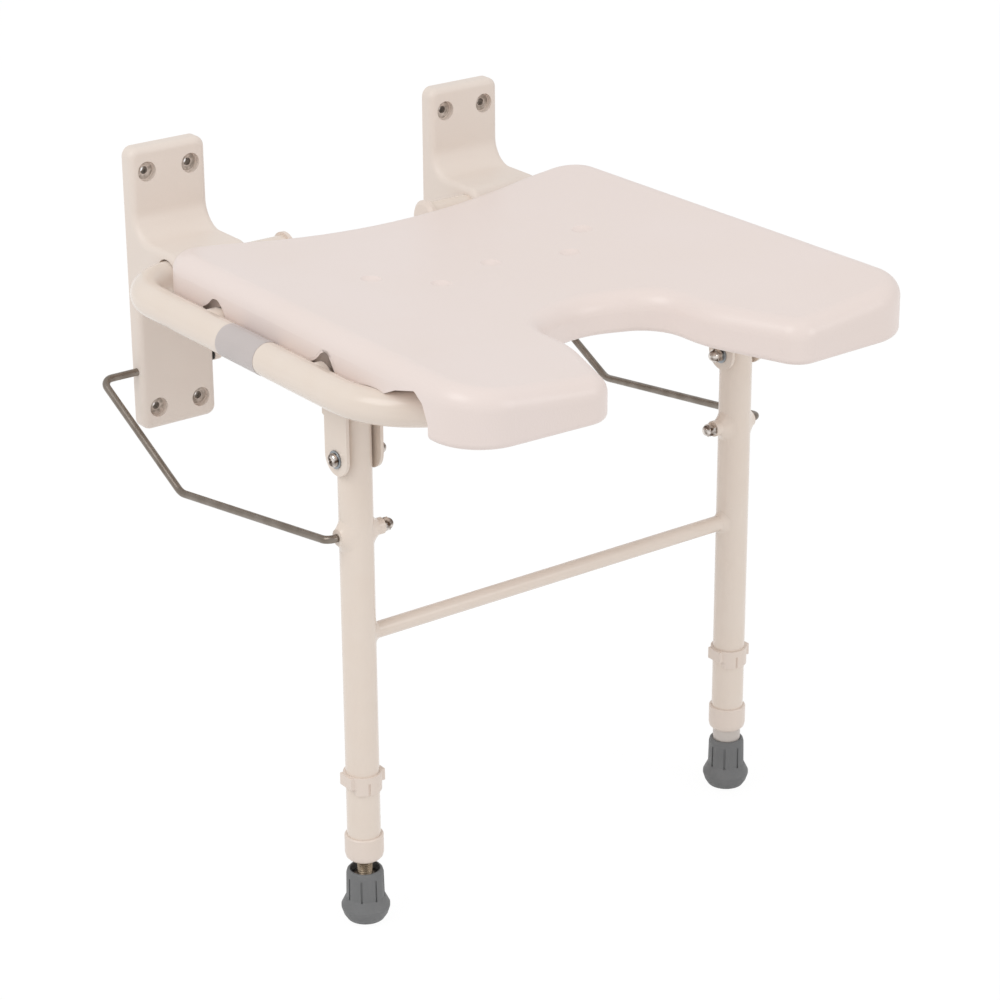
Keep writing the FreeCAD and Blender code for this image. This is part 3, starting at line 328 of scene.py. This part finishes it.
# painted shade for the walls of the screw bores
paintedFinish("boreShade", {
    "base": (0.40, 0.345, 0.30), "secondTone": (0.20, 0.165, 0.14), "drift": 1.0,
    "grain": 0.001, "wave": 0.003, "waveShare": 1.0, "smear": 0.01, "scratch": 0.1,
    "gloss": (0.5, 0.7), "bump": 0.5, "depth": 0.0006,
    "shader": {"Specular IOR Level": 0.2}})

paintedFinish("creamPaint", {
    "base": (0.81, 0.715, 0.635), "secondTone": (0.79, 0.68, 0.59), "drift": 0.3,
    "grain": 0.0022, "wave": 0.02, "waveShare": 0.6, "smear": 0.06, "scratch": 0.02,
    "gloss": (0.20, 0.27), "bump": 0.03, "depth": 0.0005,
    "shader": {"Specular IOR Level": 0.42, "Coat Weight": 0.22, "Coat Roughness": 0.10}})

paintedFinish("ivoryBoard", {
    "base": (0.84, 0.74, 0.705), "secondTone": (0.825, 0.72, 0.67), "drift": 0.4,
    "grain": 0.0015, "wave": 0.09, "waveShare": 0.3, "smear": 0.08, "scratch": 0.02,
    "gloss": (0.29, 0.36), "bump": 0.12, "depth": 0.0006,
    "shader": {"Specular IOR Level": 0.5}})

paintedFinish("clipPlastic", {
    "base": (0.80, 0.70, 0.63), "secondTone": (0.77, 0.67, 0.59), "drift": 0.3,
    "grain": 0.002, "wave": 0.03, "waveShare": 0.4, "smear": 0.03, "scratch": 0.02,
    "gloss": (0.30, 0.38), "bump": 0.05, "depth": 0.0005,
    "shader": {"Specular IOR Level": 0.5}})

paintedFinish("slideGrey", {
    "base": (0.60, 0.55, 0.515), "secondTone": (0.55, 0.50, 0.46), "drift": 0.4,
    "grain": 0.0015, "wave": 0.02, "waveShare": 0.4, "smear": 0.03, "scratch": 0.05,
    "gloss": (0.30, 0.42), "bump": 0.06, "depth": 0.0005,
    "shader": {"Specular IOR Level": 0.5, "Metallic": 0.25}})

paintedFinish("footRubber", {
    "base": (0.182, 0.186, 0.190), "secondTone": (0.158, 0.162, 0.166), "drift": 0.5,
    "grain": 0.0009, "wave": 0.02, "waveShare": 0.4, "smear": 0.02, "scratch": 0.05,
    "gloss": (0.50, 0.62), "bump": 0.2, "depth": 0.0005,
    "shader": {"Specular IOR Level": 0.4}})

paintedFinish("darkPlug", {
    "base": (0.03, 0.03, 0.03), "secondTone": (0.04, 0.035, 0.03), "drift": 0.5,
    "grain": 0.001, "wave": 0.02, "waveShare": 0.3, "smear": 0.02, "scratch": 0.03,
    "gloss": (0.45, 0.55), "bump": 0.1, "depth": 0.0004,
    "shader": {"Specular IOR Level": 0.4}})

# zinc plating whose colour mottles in 4 mm blots from bright to near black: painted reflection of dark
# surroundings
paintedFinish("brightZincPaintedReflection", {
    "base": (0.80, 0.745, 0.70), "secondTone": (0.09, 0.055, 0.035), "drift": 1.0,
    "grain": 0.0008, "wave": 0.0042, "waveShare": 0.8, "smear": 0.004, "scratch": 0.05,
    "gloss": (0.08, 0.2), "bump": 0.05, "depth": 0.0002,
    "shader": {"Metallic": 1.0}})

paintedFinish("drawnSteel", {
    "base": (0.275, 0.238, 0.205), "secondTone": (0.20, 0.165, 0.135), "drift": 0.7,
    "grain": 0.0009, "wave": 0.012, "waveShare": 0.8, "smear": 0.012, "scratch": 0.12,
    "gloss": (0.26, 0.38), "bump": 0.08, "depth": 0.0003,
    "shader": {"Metallic": 0.9}})

paintedFinish("stemZinc", {
    "base": (0.42, 0.34, 0.25), "secondTone": (0.30, 0.23, 0.16), "drift": 0.7,
    "grain": 0.0009, "wave": 0.005, "waveShare": 0.8, "smear": 0.008, "scratch": 0.12,
    "gloss": (0.28, 0.42), "bump": 0.1, "depth": 0.0003,
    "shader": {"Metallic": 0.9}})

paintedFinish("blueZinc", {
    "base": (0.34, 0.365, 0.385), "secondTone": (0.25, 0.27, 0.29), "drift": 0.6,
    "grain": 0.0008, "wave": 0.004, "waveShare": 0.6, "smear": 0.005, "scratch": 0.1,
    "gloss": (0.24, 0.36), "bump": 0.06, "depth": 0.0002,
    "shader": {"Metallic": 1.0}})

paintedFinish("sleeveFilm", {
    "base": (0.56, 0.51, 0.50), "secondTone": (0.52, 0.475, 0.465), "drift": 0.4,
    "grain": 0.0008, "wave": 0.02, "waveShare": 0.6, "smear": 0.02, "scratch": 0.04,
    "gloss": (0.28, 0.38), "bump": 0.04, "depth": 0.0003,
    "shader": {"Specular IOR Level": 0.5}})

slotFinish = {
    "moulded_bracket": "bracketPlastic", "painted_tube": "creamPaint", "seat_plastic": "ivoryBoard",
    "cap_plastic": "clipPlastic", "clip_plastic": "clipPlastic", "bright_fastener": "brightZincPaintedReflection",
    "stay_steel": "drawnSteel", "slide_tube": "slideGrey", "foot_rubber": "footRubber",
    "plug_plastic": "darkPlug", "stem_steel": "stemZinc",
}

slotOf = {s["node"]: s["material_slot"] for s in frame["record"]["subparts"]}
for name, node in nodes.items():
    finish = finishes[slotFinish[slotOf[name]]]
    if not node.material_slots:
        node.data.materials.append(finish)
    for slot in node.material_slots:
        slot.material = finish
print("finishes on every solid")


# sizes and places that several pieces share, in millimetres, as the solids have them

tubeR = 12.7                                   # side tubes, front tube and legs
crossR = 12.4                                  # cross tubes under the board
sideX = 213.7                                  # axis of each side tube, off the middle
legX, legOut = 179.0, 318.5                    # axis of each leg, off the middle and out from the wall
pivotUp = 27.3                                 # height of the frame tubes' axes
pivotDrop, bossDrop, barDrop, soleDrop = 63.5, 60.6, 142.5, 378.5
pivotZ = pivotUp - pivotDrop                   # bolt that the leg turns on
bossZ = pivotZ - bossDrop                      # sleeve that the stay turns in
barZ = pivotZ - barDrop                        # crossbar between the legs
soleZ = pivotZ - soleDrop                      # sole of the feet
cheekThick = 3.1
cheekFace = tubeR + cheekThick                 # outer face of each clevis cheek, off the leg's axis
ferruleHigh, cupDeep = 42.5, 12.0
cupFloor = soleZ + ferruleHigh - cupDeep       # seat of the stem inside each ferrule


# mesh helpers

def meshFrom(name, made):
    bmesh.ops.recalc_face_normals(made, faces=made.faces)
    mesh = bpy.data.meshes.new(name)
    made.to_mesh(mesh)
    made.free()
    return mesh


def skinOf(name, rings, wrap):
    # joins rings of points, given in millimetres, into one closed skin
    made = bmesh.new()
    rows = [[made.verts.new(Vector(p) * mm) for p in ring] for ring in rings]
    follow = rows[1:] + (rows[:1] if wrap else [])
    for a, b in zip(rows, follow):
        for k in range(len(a)):
            n = (k + 1) % len(a)
            made.faces.new((a[k], a[n], b[n], b[k]))
    if not wrap:
        made.faces.new(list(reversed(rows[0])))
        made.faces.new(rows[-1])
    return meshFrom(name, made)


def ringAt(axis, centre, steps, along, radius):
    # one ring of points about the axis; the radius is a number or a function of the angle
    ring = []
    for k in range(steps):
        angle = math.tau * k / steps
        out = radius(angle) if callable(radius) else radius
        u, v = out * math.cos(angle), out * math.sin(angle)
        if axis == "z":
            ring.append((centre[0] + u, centre[1] + v, centre[2] + along))
        elif axis == "wall":                   # straight out from the wall
            ring.append((centre[0] + u, centre[1] - along, centre[2] + v))
        else:                                  # 1 to the right, -1 to the left
            ring.append((centre[0] + axis * along, centre[1] + u, centre[2] + v))
    return ring


def turned(axis, centre, steps, profile):
    # rings of an outline of (along, radius) pairs
    return [ringAt(axis, centre, steps, along, radius) for along, radius in profile]


def quarterTurn(steps, first=0):
    # angles from none up to a quarter turn, without the last
    return [0.5 * math.pi * k / steps for k in range(first, steps)]


def addPiece(name, mesh, finish, rideOn, replaced=(), sharp=50.0):
    piece = bpy.data.objects.new(name, mesh)
    scene.collection.objects.link(piece)
    mesh.materials.clear()
    mesh.materials.append(finishes[finish])
    mesh.polygons.foreach_set("use_smooth", [True] * len(mesh.polygons))
    mesh.set_sharp_from_angle(angle=math.radians(sharp))
    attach(piece, rideOn)
    if replaced:
        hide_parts(*replaced)


def addSkin(name, rings, finish, rideOn, replaced=(), sharp=50.0, wrap=False):
    addPiece(name, skinOf(name, rings, wrap), finish, rideOn, replaced, sharp)


# blank sleeve round the left side tube

sleeve = {
    "start": -212.0, "end": -262.0, "spots": 12, "steps": 120, "sharp": 40.0,
    "lift": 0.06, "thick": 0.16, "seam": 5.5,
    "lap": 0.35, "climb": 1.15, "climbLead": 0.25, "climbRun": 0.2,         # the end lies on the start
    "wrinkle": 0.05, "waveRound": 3.0, "waveAlong": 0.21, "waveFade": 0.13,
}


def makeSleeve(s):
    turns = math.tau + s["lap"]
    spots = [s["start"] + (s["end"] - s["start"]) * k / s["spots"] for k in range(s["spots"] + 1)]
    made = bmesh.new()

    def point(reach, angle, y):
        return made.verts.new(Vector((-sideX + reach * math.cos(angle), y,
                                      pivotUp + reach * math.sin(angle))) * mm)

    rows = []
    for k in range(s["steps"] + 1):
        share = k / s["steps"]
        angle = s["seam"] + turns * share
        climb = max(0.0, min(1.0, (share * turns - math.tau + s["climbLead"]) / s["climbRun"]))
        near = tubeR + s["lift"] + s["thick"] * s["climb"] * climb
        row = []
        for y in spots:
            ripple = math.sin(s["waveRound"] * angle + s["waveAlong"] * y) * math.sin(s["waveFade"] * y)
            far = near + s["thick"] + max(0.0, s["wrinkle"] * ripple)
            row.append((point(near, angle, y), point(far, angle, y)))
        rows.append(row)
    last = s["spots"]
    for a, b in zip(rows, rows[1:]):
        for k in range(last):
            made.faces.new((a[k][1], a[k + 1][1], b[k + 1][1], b[k][1]))
            made.faces.new((a[k][0], b[k][0], b[k + 1][0], a[k + 1][0]))
        made.faces.new((a[0][0], a[0][1], b[0][1], b[0][0]))
        made.faces.new((a[last][1], a[last][0], b[last][0], b[last][1]))
    for row in (rows[0], rows[-1]):
        for k in range(last):
            made.faces.new((row[k][0], row[k + 1][0], row[k + 1][1], row[k][1]))
    mesh = meshFrom("sleeveFilm", made)
    addPiece("sleeveFilm", mesh, "sleeveFilm", "seat", sharp=s["sharp"])


makeSleeve(sleeve)
print("blank sleeve on the left side tube")


# moulded flares that lead each arch of the board down to its cross tube

flareForm = {
    "wallX": (200.1, 206.5), "wallY": (-89.7, -492.0),      # side wall of the board, rear and front
    "innerX": 196.0, "clear": 0.35, "sideClear": 0.25,
    "steps": 56, "rows": 9, "cuts": 3, "lap": 1.6, "lapRows": 2, "proud": 0.07, "thick": 0.6,
    "curl": 1.9, "sharp": 60.0,
    # along and up, in radii of the cross tube; None stands for the arch's own rise
    "outline": ((2.05, 0.0), (2.0, 0.6), (1.1, 0.95), (0.5, None), (-0.3, None), (-1.05, 0.5), (-1.09, 0.0)),
    # name, cross tube out from the wall, middle of the arch, rise
    "arches": (("Rear", 176.0, -175.0, 18.5), ("Front", 318.5, -324.0, 20.5)),
}


def softened(points, times):
    # cuts each corner of an open line at a quarter of its two spans, again and again
    for _ in range(times):
        made = [points[0]]
        for a, b in zip(points, points[1:]):
            made += [a.lerp(b, 0.25), a.lerp(b, 0.75)]
        points = made + [points[-1]]
    return points


def evenly(points, count):
    # the same line with its points at equal spaces
    lengths = [(b - a).length for a, b in zip(points, points[1:])]
    total = sum(lengths)
    out = []
    k, done = 0, 0.0
    for j in range(count + 1):
        want = total * j / count
        while k < len(lengths) - 1 and done + lengths[k] < want:
            done += lengths[k]
            k += 1
        out.append(points[k].lerp(points[k + 1], min(1.0, (want - done) / lengths[k])))
    return out


def flareEdge(f, middle, rise):
    # edge of the arch in the side wall
    corners = []
    for along, up in f["outline"]:
        high = rise if up is None else up * crossR
        corners.append(Vector((middle + along * crossR, pivotUp + high)))
    return evenly(softened(corners, f["cuts"]), f["steps"])


def flareLip(f, centre):
    # half a circle, just clear of the cross tube
    lip = []
    for k in range(f["steps"] + 1):
        angle = math.pi * k / f["steps"]
        lip.append(centre + Vector((math.cos(angle), math.sin(angle))) * (crossR + f["clear"]))
    return lip


def archFlare(name, sign, out, middle, rise):
    f = flareForm
    centre = Vector((-out, pivotUp))
    pairs = list(zip(flareEdge(f, middle, rise), flareLip(f, centre)))
    slope = (f["wallX"][1] - f["wallX"][0]) / (f["wallY"][1] - f["wallY"][0])
    clear = tubeR + f["sideClear"]
    rings = []
    for k in range(-f["lapRows"], f["rows"] + 1):
        share = max(0.0, k / f["rows"])
        lap = f["lap"] * max(0, -k) / f["lapRows"]          # the first rows lie on the wall round the arch
        fronts, backs = [], []
        for edge, lip in pairs:
            away = (edge - centre).normalized()
            spot = edge.lerp(lip, math.sin(0.5 * math.pi * share)) + away * lap
            wall = f["wallX"][0] + slope * (spot.x - f["wallY"][0])
            x = wall + f["proud"] * (1.0 - share) - (wall - f["innerX"]) * share ** f["curl"]
            high = spot.y - pivotUp
            if (sideX - x) ** 2 + high ** 2 < clear ** 2:   # stays clear of the side tube
                x = sideX - math.sqrt(max(clear ** 2 - high ** 2, 0.0))
            front = Vector((sign * x, spot.x, spot.y))
            inward, outward = f["thick"] * (1.0 - share), f["thick"] * share
            fronts.append(front)
            backs.append(front + Vector((-sign * inward, away.x * outward, away.y * outward)))
        rings.append(fronts + backs[::-1])
    addSkin(name, rings, "ivoryBoard", "seat", sharp=f["sharp"])


for side, sign in sides.items():
    for label, out, middle, rise in flareForm["arches"]:
        archFlare(side + label + "ArchFlare", sign, out, middle, rise)
print("arch flares")


# weld beads, painted over with the frame

bead = {
    "steps": 72, "rows": 9, "sink": 0.5, "sharp": 70.0,
    "ripple": 0.025, "lobes": 9, "phase": 1.3, "slowLobes": 3, "slowShare": 0.5,
    # name, side of the leg, height, radius of what leaves the leg, width, fullness, reach
    "joins": (("OuterBossWeld", 1, bossZ, 6.25, 5.8, 0.85, 16.1),
              ("InnerBossWeld", -1, bossZ, 6.25, 5.2, 0.7, None),
              ("CrossbarWeld", -1, barZ, 6.2, 3.4, 0.5, None)),
}


def weldRound(name, legAt, axis, height, radius, width, fullness, reach):
    # fillet between the leg and a round piece that leaves it sideways; it ends at reach, if given
    def onLeg(out, angle):
        y = out * math.cos(angle)
        return Vector((legAt + axis * math.sqrt(max(tubeR ** 2 - y ** 2, 0.0)), -legOut + y,
                       height + out * math.sin(angle)))

    angles = [math.tau * j / bead["steps"] for j in range(bead["steps"])]
    rings = []
    for k in range(bead["rows"] + 1):
        t = k / bead["rows"]
        ring = []
        for angle in angles:
            ripple = math.sin(bead["lobes"] * angle + bead["phase"])
            ripple += bead["slowShare"] * math.sin(bead["slowLobes"] * angle + height)
            w = width * (1.0 + bead["ripple"] * ripple)
            foot = onLeg(radius + w, angle)
            corner = onLeg(radius, angle)
            top = corner + Vector((axis * w, 0, 0))
            if reach is not None:
                top.x = legAt + axis * reach
            pull = corner.lerp((foot + top) / 2, fullness)  # 0 hollow, 1 straight, above that crowned
            ring.append((1 - t) ** 2 * foot + 2 * t * (1 - t) * pull + t ** 2 * top)
        rings.append(ring)
    sunk = Vector((axis * bead["sink"], 0, 0))
    rings.append([onLeg(radius - bead["sink"], angle) - sunk for angle in angles])
    addSkin(name, rings, "creamPaint", "legs", sharp=bead["sharp"], wrap=True)


arcBead = {
    "radius": 13.0, "thick": 1.5, "from": math.radians(195), "to": math.radians(345),
    "steps": 64, "round": 12, "ripple": 0.07, "lobes": 46.0, "endShare": 0.35, "endSlope": 6.0,
}


def weldArc(name, x):
    # bead where the cheek of a clevis meets its cross tube
    w = arcBead
    sweep = w["to"] - w["from"]
    rings = []
    for k in range(w["steps"] + 1):
        share = k / w["steps"]
        angle = w["from"] + sweep * share
        fat = w["thick"] * (1.0 + w["ripple"] * math.sin(w["lobes"] * share * sweep))
        fat *= min(1.0, w["endShare"] + w["endSlope"] * min(share, 1.0 - share))
        away, up = math.cos(angle), math.sin(angle)
        out = Vector((0, away, up))
        middle = Vector((x, -legOut + w["radius"] * away, pivotUp + w["radius"] * up))
        ring = []
        for j in range(w["round"]):
            a = math.tau * j / w["round"]
            ring.append(middle + Vector((1, 0, 0)) * (fat * math.cos(a)) + out * (fat * math.sin(a)))
        rings.append(ring)
    addSkin(name, rings, "creamPaint", "seat", sharp=bead["sharp"])


for side, sign in sides.items():
    for label, way, height, radius, width, fullness, reach in bead["joins"]:
        weldRound(side + label, sign * legX, sign * way, height, radius, width, fullness, reach)
    for label, way in (("Outer", 1), ("Inner", -1)):
        weldArc(side + label + "ClevisWeld", sign * legX + sign * way * cheekFace)
print("weld beads")


# painted shade down in the recessed screw holes of the brackets

holeLining = {
    "bracketX": 142.0, "apartX": 39.0, "apartZ": 195.0, "plate": 12.8, "recess": 8.0, "deep": 5.0,
    "bore": 3.25, "thick": 0.25, "margin": 0.9, "reach": 6.5, "steps": 60,
    "proud": 0.02, "lipIn": 0.3, "lipOut": 0.6, "rimIn": 0.4, "rimUp": 0.1, "boreTop": 0.1,
}


def paintRecessShade(name, x, z):
    # a thin skin of painted shade on the floor of the recess, and a darker one down the bore
    h = holeLining
    floor = h["plate"] - h["deep"]
    outer, bore = h["recess"] - h["margin"], h["bore"] - h["proud"]
    top, low = floor + h["thick"], floor - h["reach"]
    skins = {
        "Floor": ("shadedRecess", [(floor + h["proud"], outer), (floor + h["proud"], bore + h["lipIn"]),
                                   (top, bore + h["lipOut"]), (top, outer - h["rimIn"]),
                                   (floor + h["rimUp"], outer)]),
        "Bore": ("boreShade", [(floor - h["boreTop"], bore), (low, bore),
                               (low, bore - h["thick"]), (floor - h["boreTop"], bore - h["thick"])]),
    }
    for part, (finish, profile) in skins.items():
        rings = turned("wall", (x, 0.0, z), h["steps"], profile)
        addSkin(name + part, rings, finish, "wall", wrap=True)


for side, sign in sides.items():
    for column in (-1, 1):
        for label, row in (("Low", -1), ("High", 1)):
            place = "Outer" if column == sign else "Inner"
            paintRecessShade(side + "RecessShade" + label + place,
                      sign * holeLining["bracketX"] + column * holeLining["apartX"] / 2,
                      row * holeLining["apartZ"] / 2)
print("screw seats")


# steel ring inside the rim of each ferrule

cupForm = {
    "steps": 64,
    # height over the cup's floor, and radius
    "outline": ((4.2, 6.0), (4.2, 10.6), (6.1, 10.6), (6.4, 10.2), (5.9, 7.2), (5.5, 6.0)),
}

for side, sign in sides.items():
    rings = turned("z", (sign * legX, -legOut, cupFloor), cupForm["steps"], cupForm["outline"])
    addSkin(side + "CupRing", rings, "drawnSteel", side + "_foot", wrap=True)
print("rings in the ferrules")


# washers of the leg bolts, on both faces of each clevis

washerForm = {
    "radius": 6.85, "bore": 3.1, "thick": 1.4, "round": 0.35, "bevel": 0.12, "edge": 0.1,
    "innerBreak": 0.15, "outerBreak": 0.2, "steps": 72,         # broken edges of the bore
}


def plateWasher(name, centre, axis, replaced=()):
    w = washerForm
    r, e = w["radius"], w["round"]
    start, end = cheekFace, cheekFace + w["thick"]
    bore, inner, outer = w["bore"], w["innerBreak"], w["outerBreak"]
    profile = [(start, bore + inner), (start, r - e), (start + w["bevel"], r - w["edge"]), (start + e, r),
               (end - e, r), (end - w["edge"], r - w["bevel"]), (end, r - e), (end, bore + outer),
               (end - outer, bore), (start + inner, bore)]
    rings = turned(axis, centre, w["steps"], profile)
    addSkin(name, rings, "blueZinc", "seat", replaced, wrap=True)


# dome nuts of the leg bolts and the stays

nutForm = {
    "flats": 10.0, "height": 5.0, "chamfer": 0.55, "coneSlope": 1.7, "edge": 0.25,
    "bore": 3.0, "boreDeep": 7.5, "boreCone": 0.6, "boreTip": 0.4, "mouth": 0.25, "mouthOut": 0.3,
    "hexRows": (0.0, 0.15, 0.3, 0.5, 1.0, 2.5, 4.0, 4.5, 4.7, 4.85, 5.0),
    "neck": 4.35, "neckFoot": ((0.0, 0.35), (0.15, 0.05)),     # up and out from the top of the hexagon
    "domeFoot": 0.5, "tip": 9.6, "tipR": 0.3, "domePower": 0.9, "domeSteps": 13,
    "steps": 72, "sharp": 28.0,
    "stayReach": 22.0,                                         # seat of the stay's nut, off the leg's axis
}


def hexAt(f, along):
    # radius round the hexagon at one height, cut by a cone at each end
    corner = f["flats"] / 2 / math.cos(math.pi / 6)
    cone = corner + f["coneSlope"] * min(along, f["height"] - along) - f["chamfer"]

    def radius(angle):
        turn = (angle + math.pi / 6) % (math.pi / 3) - math.pi / 6
        return min(f["flats"] / 2 / math.cos(turn), cone)

    return radius


def domeNut(name, seat, axis, rideOn, replaced):
    f = nutForm
    high, neck, bore = f["height"], f["neck"], f["bore"]
    profile = [(f["boreDeep"], f["boreTip"]), (f["boreDeep"] - f["boreCone"], bore), (f["mouth"], bore),
               (0.0, bore + f["mouthOut"]), (0.0, f["flats"] / 2 - f["edge"])]
    profile += [(along, hexAt(f, along)) for along in f["hexRows"]]
    profile += [(high + up, neck + out) for up, out in f["neckFoot"]]
    dome = f["tip"] - high - f["domeFoot"]
    profile += [(high + f["domeFoot"] + dome * math.sin(a), neck * math.cos(a) ** f["domePower"])
                for a in quarterTurn(f["domeSteps"])]
    profile.append((f["tip"], f["tipR"]))
    rings = turned(axis, seat, f["steps"], profile)
    addSkin(name, rings, "brightZincPaintedReflection", rideOn, (replaced,), f["sharp"])


# leg bolts, with a lobed socket in a domed head

boltForm = {
    "shank": 3.0, "tail": 6.4, "tailTip": 2.4, "tailBreak": 0.6,            # the tail stands in the nut
    "head": 5.2, "rise": 3.6, "edge": 0.3, "rim": 1.1, "domeIn": 2.6, "domePower": 0.9, "domeSteps": 9,
    "socket": 2.05, "mouth": 1.22, "socketRows": ((0.15, 1.0), (0.6, 1.0), (1.9, 0.97)),
    "socketTip": (2.25, 0.5), "lobes": 6, "lobe": 0.13, "steps": 96, "sharp": 28.0,
}


def lobed(b, size):
    # radius round the socket: six shallow lobes
    def radius(angle):
        return size * (1.0 + b["lobe"] * math.cos(b["lobes"] * angle))

    return radius


def pivotBolt(name, centre, axis, replaced):
    b = boltForm
    head, shank = b["head"], b["shank"]
    under = cheekFace + washerForm["thick"]
    top = under + b["rise"]
    profile = [(-cheekFace - b["tail"], b["tailTip"]), (b["tailBreak"] - cheekFace - b["tail"], shank),
               (under, shank), (under, head - b["edge"]), (under + b["edge"], head)]
    profile += [(under + b["rim"] + (b["rise"] - b["rim"]) * math.sin(a),
                 head - b["domeIn"] * (1 - math.cos(a)) ** b["domePower"])
                for a in quarterTurn(b["domeSteps"], 1)]
    profile.append((top, b["socket"] * b["mouth"]))
    profile += [(top - deep, lobed(b, b["socket"] * share)) for deep, share in b["socketRows"]]
    profile.append((top - b["socketTip"][0], b["socketTip"][1]))
    rings = turned(axis, centre, b["steps"], profile)
    addSkin(name, rings, "brightZincPaintedReflection", "seat", (replaced,), b["sharp"])


for side, sign in sides.items():
    pivot = (sign * legX, -legOut, pivotZ)
    pivotBolt(side + "PivotBolt", pivot, sign, side + "_leg_bolt")
    plateWasher(side + "PivotWasher", pivot, sign, (side + "_leg_washer",))
    plateWasher(side + "InnerWasher", pivot, -sign)
    nutX = sign * (legX - cheekFace - washerForm["thick"])
    domeNut(side + "PivotNut", (nutX, -legOut, pivotZ), -sign, "seat", side + "_leg_nut")
    nutX = sign * (legX - nutForm["stayReach"])
    domeNut(side + "StayNut", (nutX, -legOut, bossZ), -sign, "legs", side + "_stay_nut")
print("bolts, washers and dome nuts")


# threaded stem in each foot

stemForm = {
    "radius": 5.8, "pitch": 1.75, "deep": 0.85, "length": 40.5, "steps": 48, "perTurn": 8,
    "flange": 10.8, "flangeRise": 4.0, "flangeFoot": 0.5, "flangeTop": 0.6, "root": 0.05,
    "threadFrom": 0.1, "threadTo": 0.8, "startRun": 1.2, "endGap": 0.6, "endRun": 1.5, "tipIn": 1.5,
    "flank": 1.25, "flat": 0.12,
}


def threadAt(s, height):
    # radius round the stem at one height; the thread runs out at both ends
    ends = min(1.0, (height - s["flangeRise"]) / s["startRun"],
               (s["length"] - s["endGap"] - height) / s["endRun"])

    def radius(angle):
        turn = (height / s["pitch"] - angle / math.tau) % 1.0
        tooth = abs(2.0 * turn - 1.0)                       # 1 at the crest, 0 in the root
        tooth = min(1.0, max(0.0, s["flank"] * tooth - s["flat"]))
        return s["radius"] - s["deep"] * (1.0 - tooth * max(0.0, ends))

    return radius


def threadedStem(side, sign):
    s = stemForm
    profile = [(0.0, s["flange"] - s["flangeFoot"]), (s["flangeFoot"], s["flange"]),
               (s["flangeRise"] - s["flangeTop"], s["flange"]),
               (s["flangeRise"], s["flange"] - s["flangeTop"]), (s["flangeRise"], s["radius"] + s["root"])]
    height = s["flangeRise"] + s["threadFrom"]
    while height < s["length"] - s["threadTo"]:
        profile.append((height, threadAt(s, height)))
        height += s["pitch"] / s["perTurn"]
    profile.append((s["length"], s["radius"] - s["tipIn"]))
    rings = turned("z", (sign * legX, -legOut, cupFloor), s["steps"], profile)
    addSkin(side + "FootStem", rings, "stemZinc", side + "_foot", (side + "_foot_stem",))


for side, sign in sides.items():
    threadedStem(side, sign)
print("threaded stems")


# push-on cap and dark seal where each stay leaves its bracket

capForm = {
    "face": 107.9, "out": 6.0, "drop": 66.27,               # inner face of the bracket, and the stay's pin
    "bore": 3.0, "seal": 1.5, "sealR": 4.9, "sealFoot": 0.05, "sealEdge": 0.3, "sealTop": 0.25,
    "radius": 5.2, "length": 10.0, "lip": 0.5, "deep": 4.0, "gap": 0.05, "mouth": 0.3,
    "domeFrom": 3.6, "domeRise": 3.5, "flat": 1.4, "domeSteps": 10, "tip": (0.1, 0.5), "steps": 48,
}


def stayEnd(side, sign):
    c = capForm
    centre = (sign * c["face"], -c["out"], -c["drop"])
    seal, sealR, bore = c["seal"], c["sealR"], c["bore"]
    ring = [(c["sealFoot"], bore), (c["sealFoot"], sealR - c["sealEdge"]), (c["sealEdge"], sealR),
            (seal - c["sealTop"], sealR), (seal, sealR - c["sealEdge"]), (seal, bore)]
    addSkin(side + "StaySeal", turned(-sign, centre, c["steps"], ring), "darkPlug", side + "_stay",
            wrap=True)
    r, end, start = c["radius"], c["length"], seal + c["gap"]
    profile = [(seal + c["deep"], bore), (seal + c["mouth"], bore), (start, bore + c["mouth"]),
               (start, r - c["lip"]), (seal + c["lip"], r)]
    profile += [(end - c["domeFrom"] + c["domeRise"] * math.sin(a),
                 c["flat"] + (r - c["flat"]) * math.cos(a))
                for a in quarterTurn(c["domeSteps"])]
    profile.append((end - c["tip"][0], c["tip"][1]))
    addSkin(side + "StayCap", turned(-sign, centre, c["steps"], profile), "clipPlastic", side + "_stay",
            (side + "_stay_cap",))


for side, sign in sides.items():
    stayEnd(side, sign)
print("stay caps and seals")
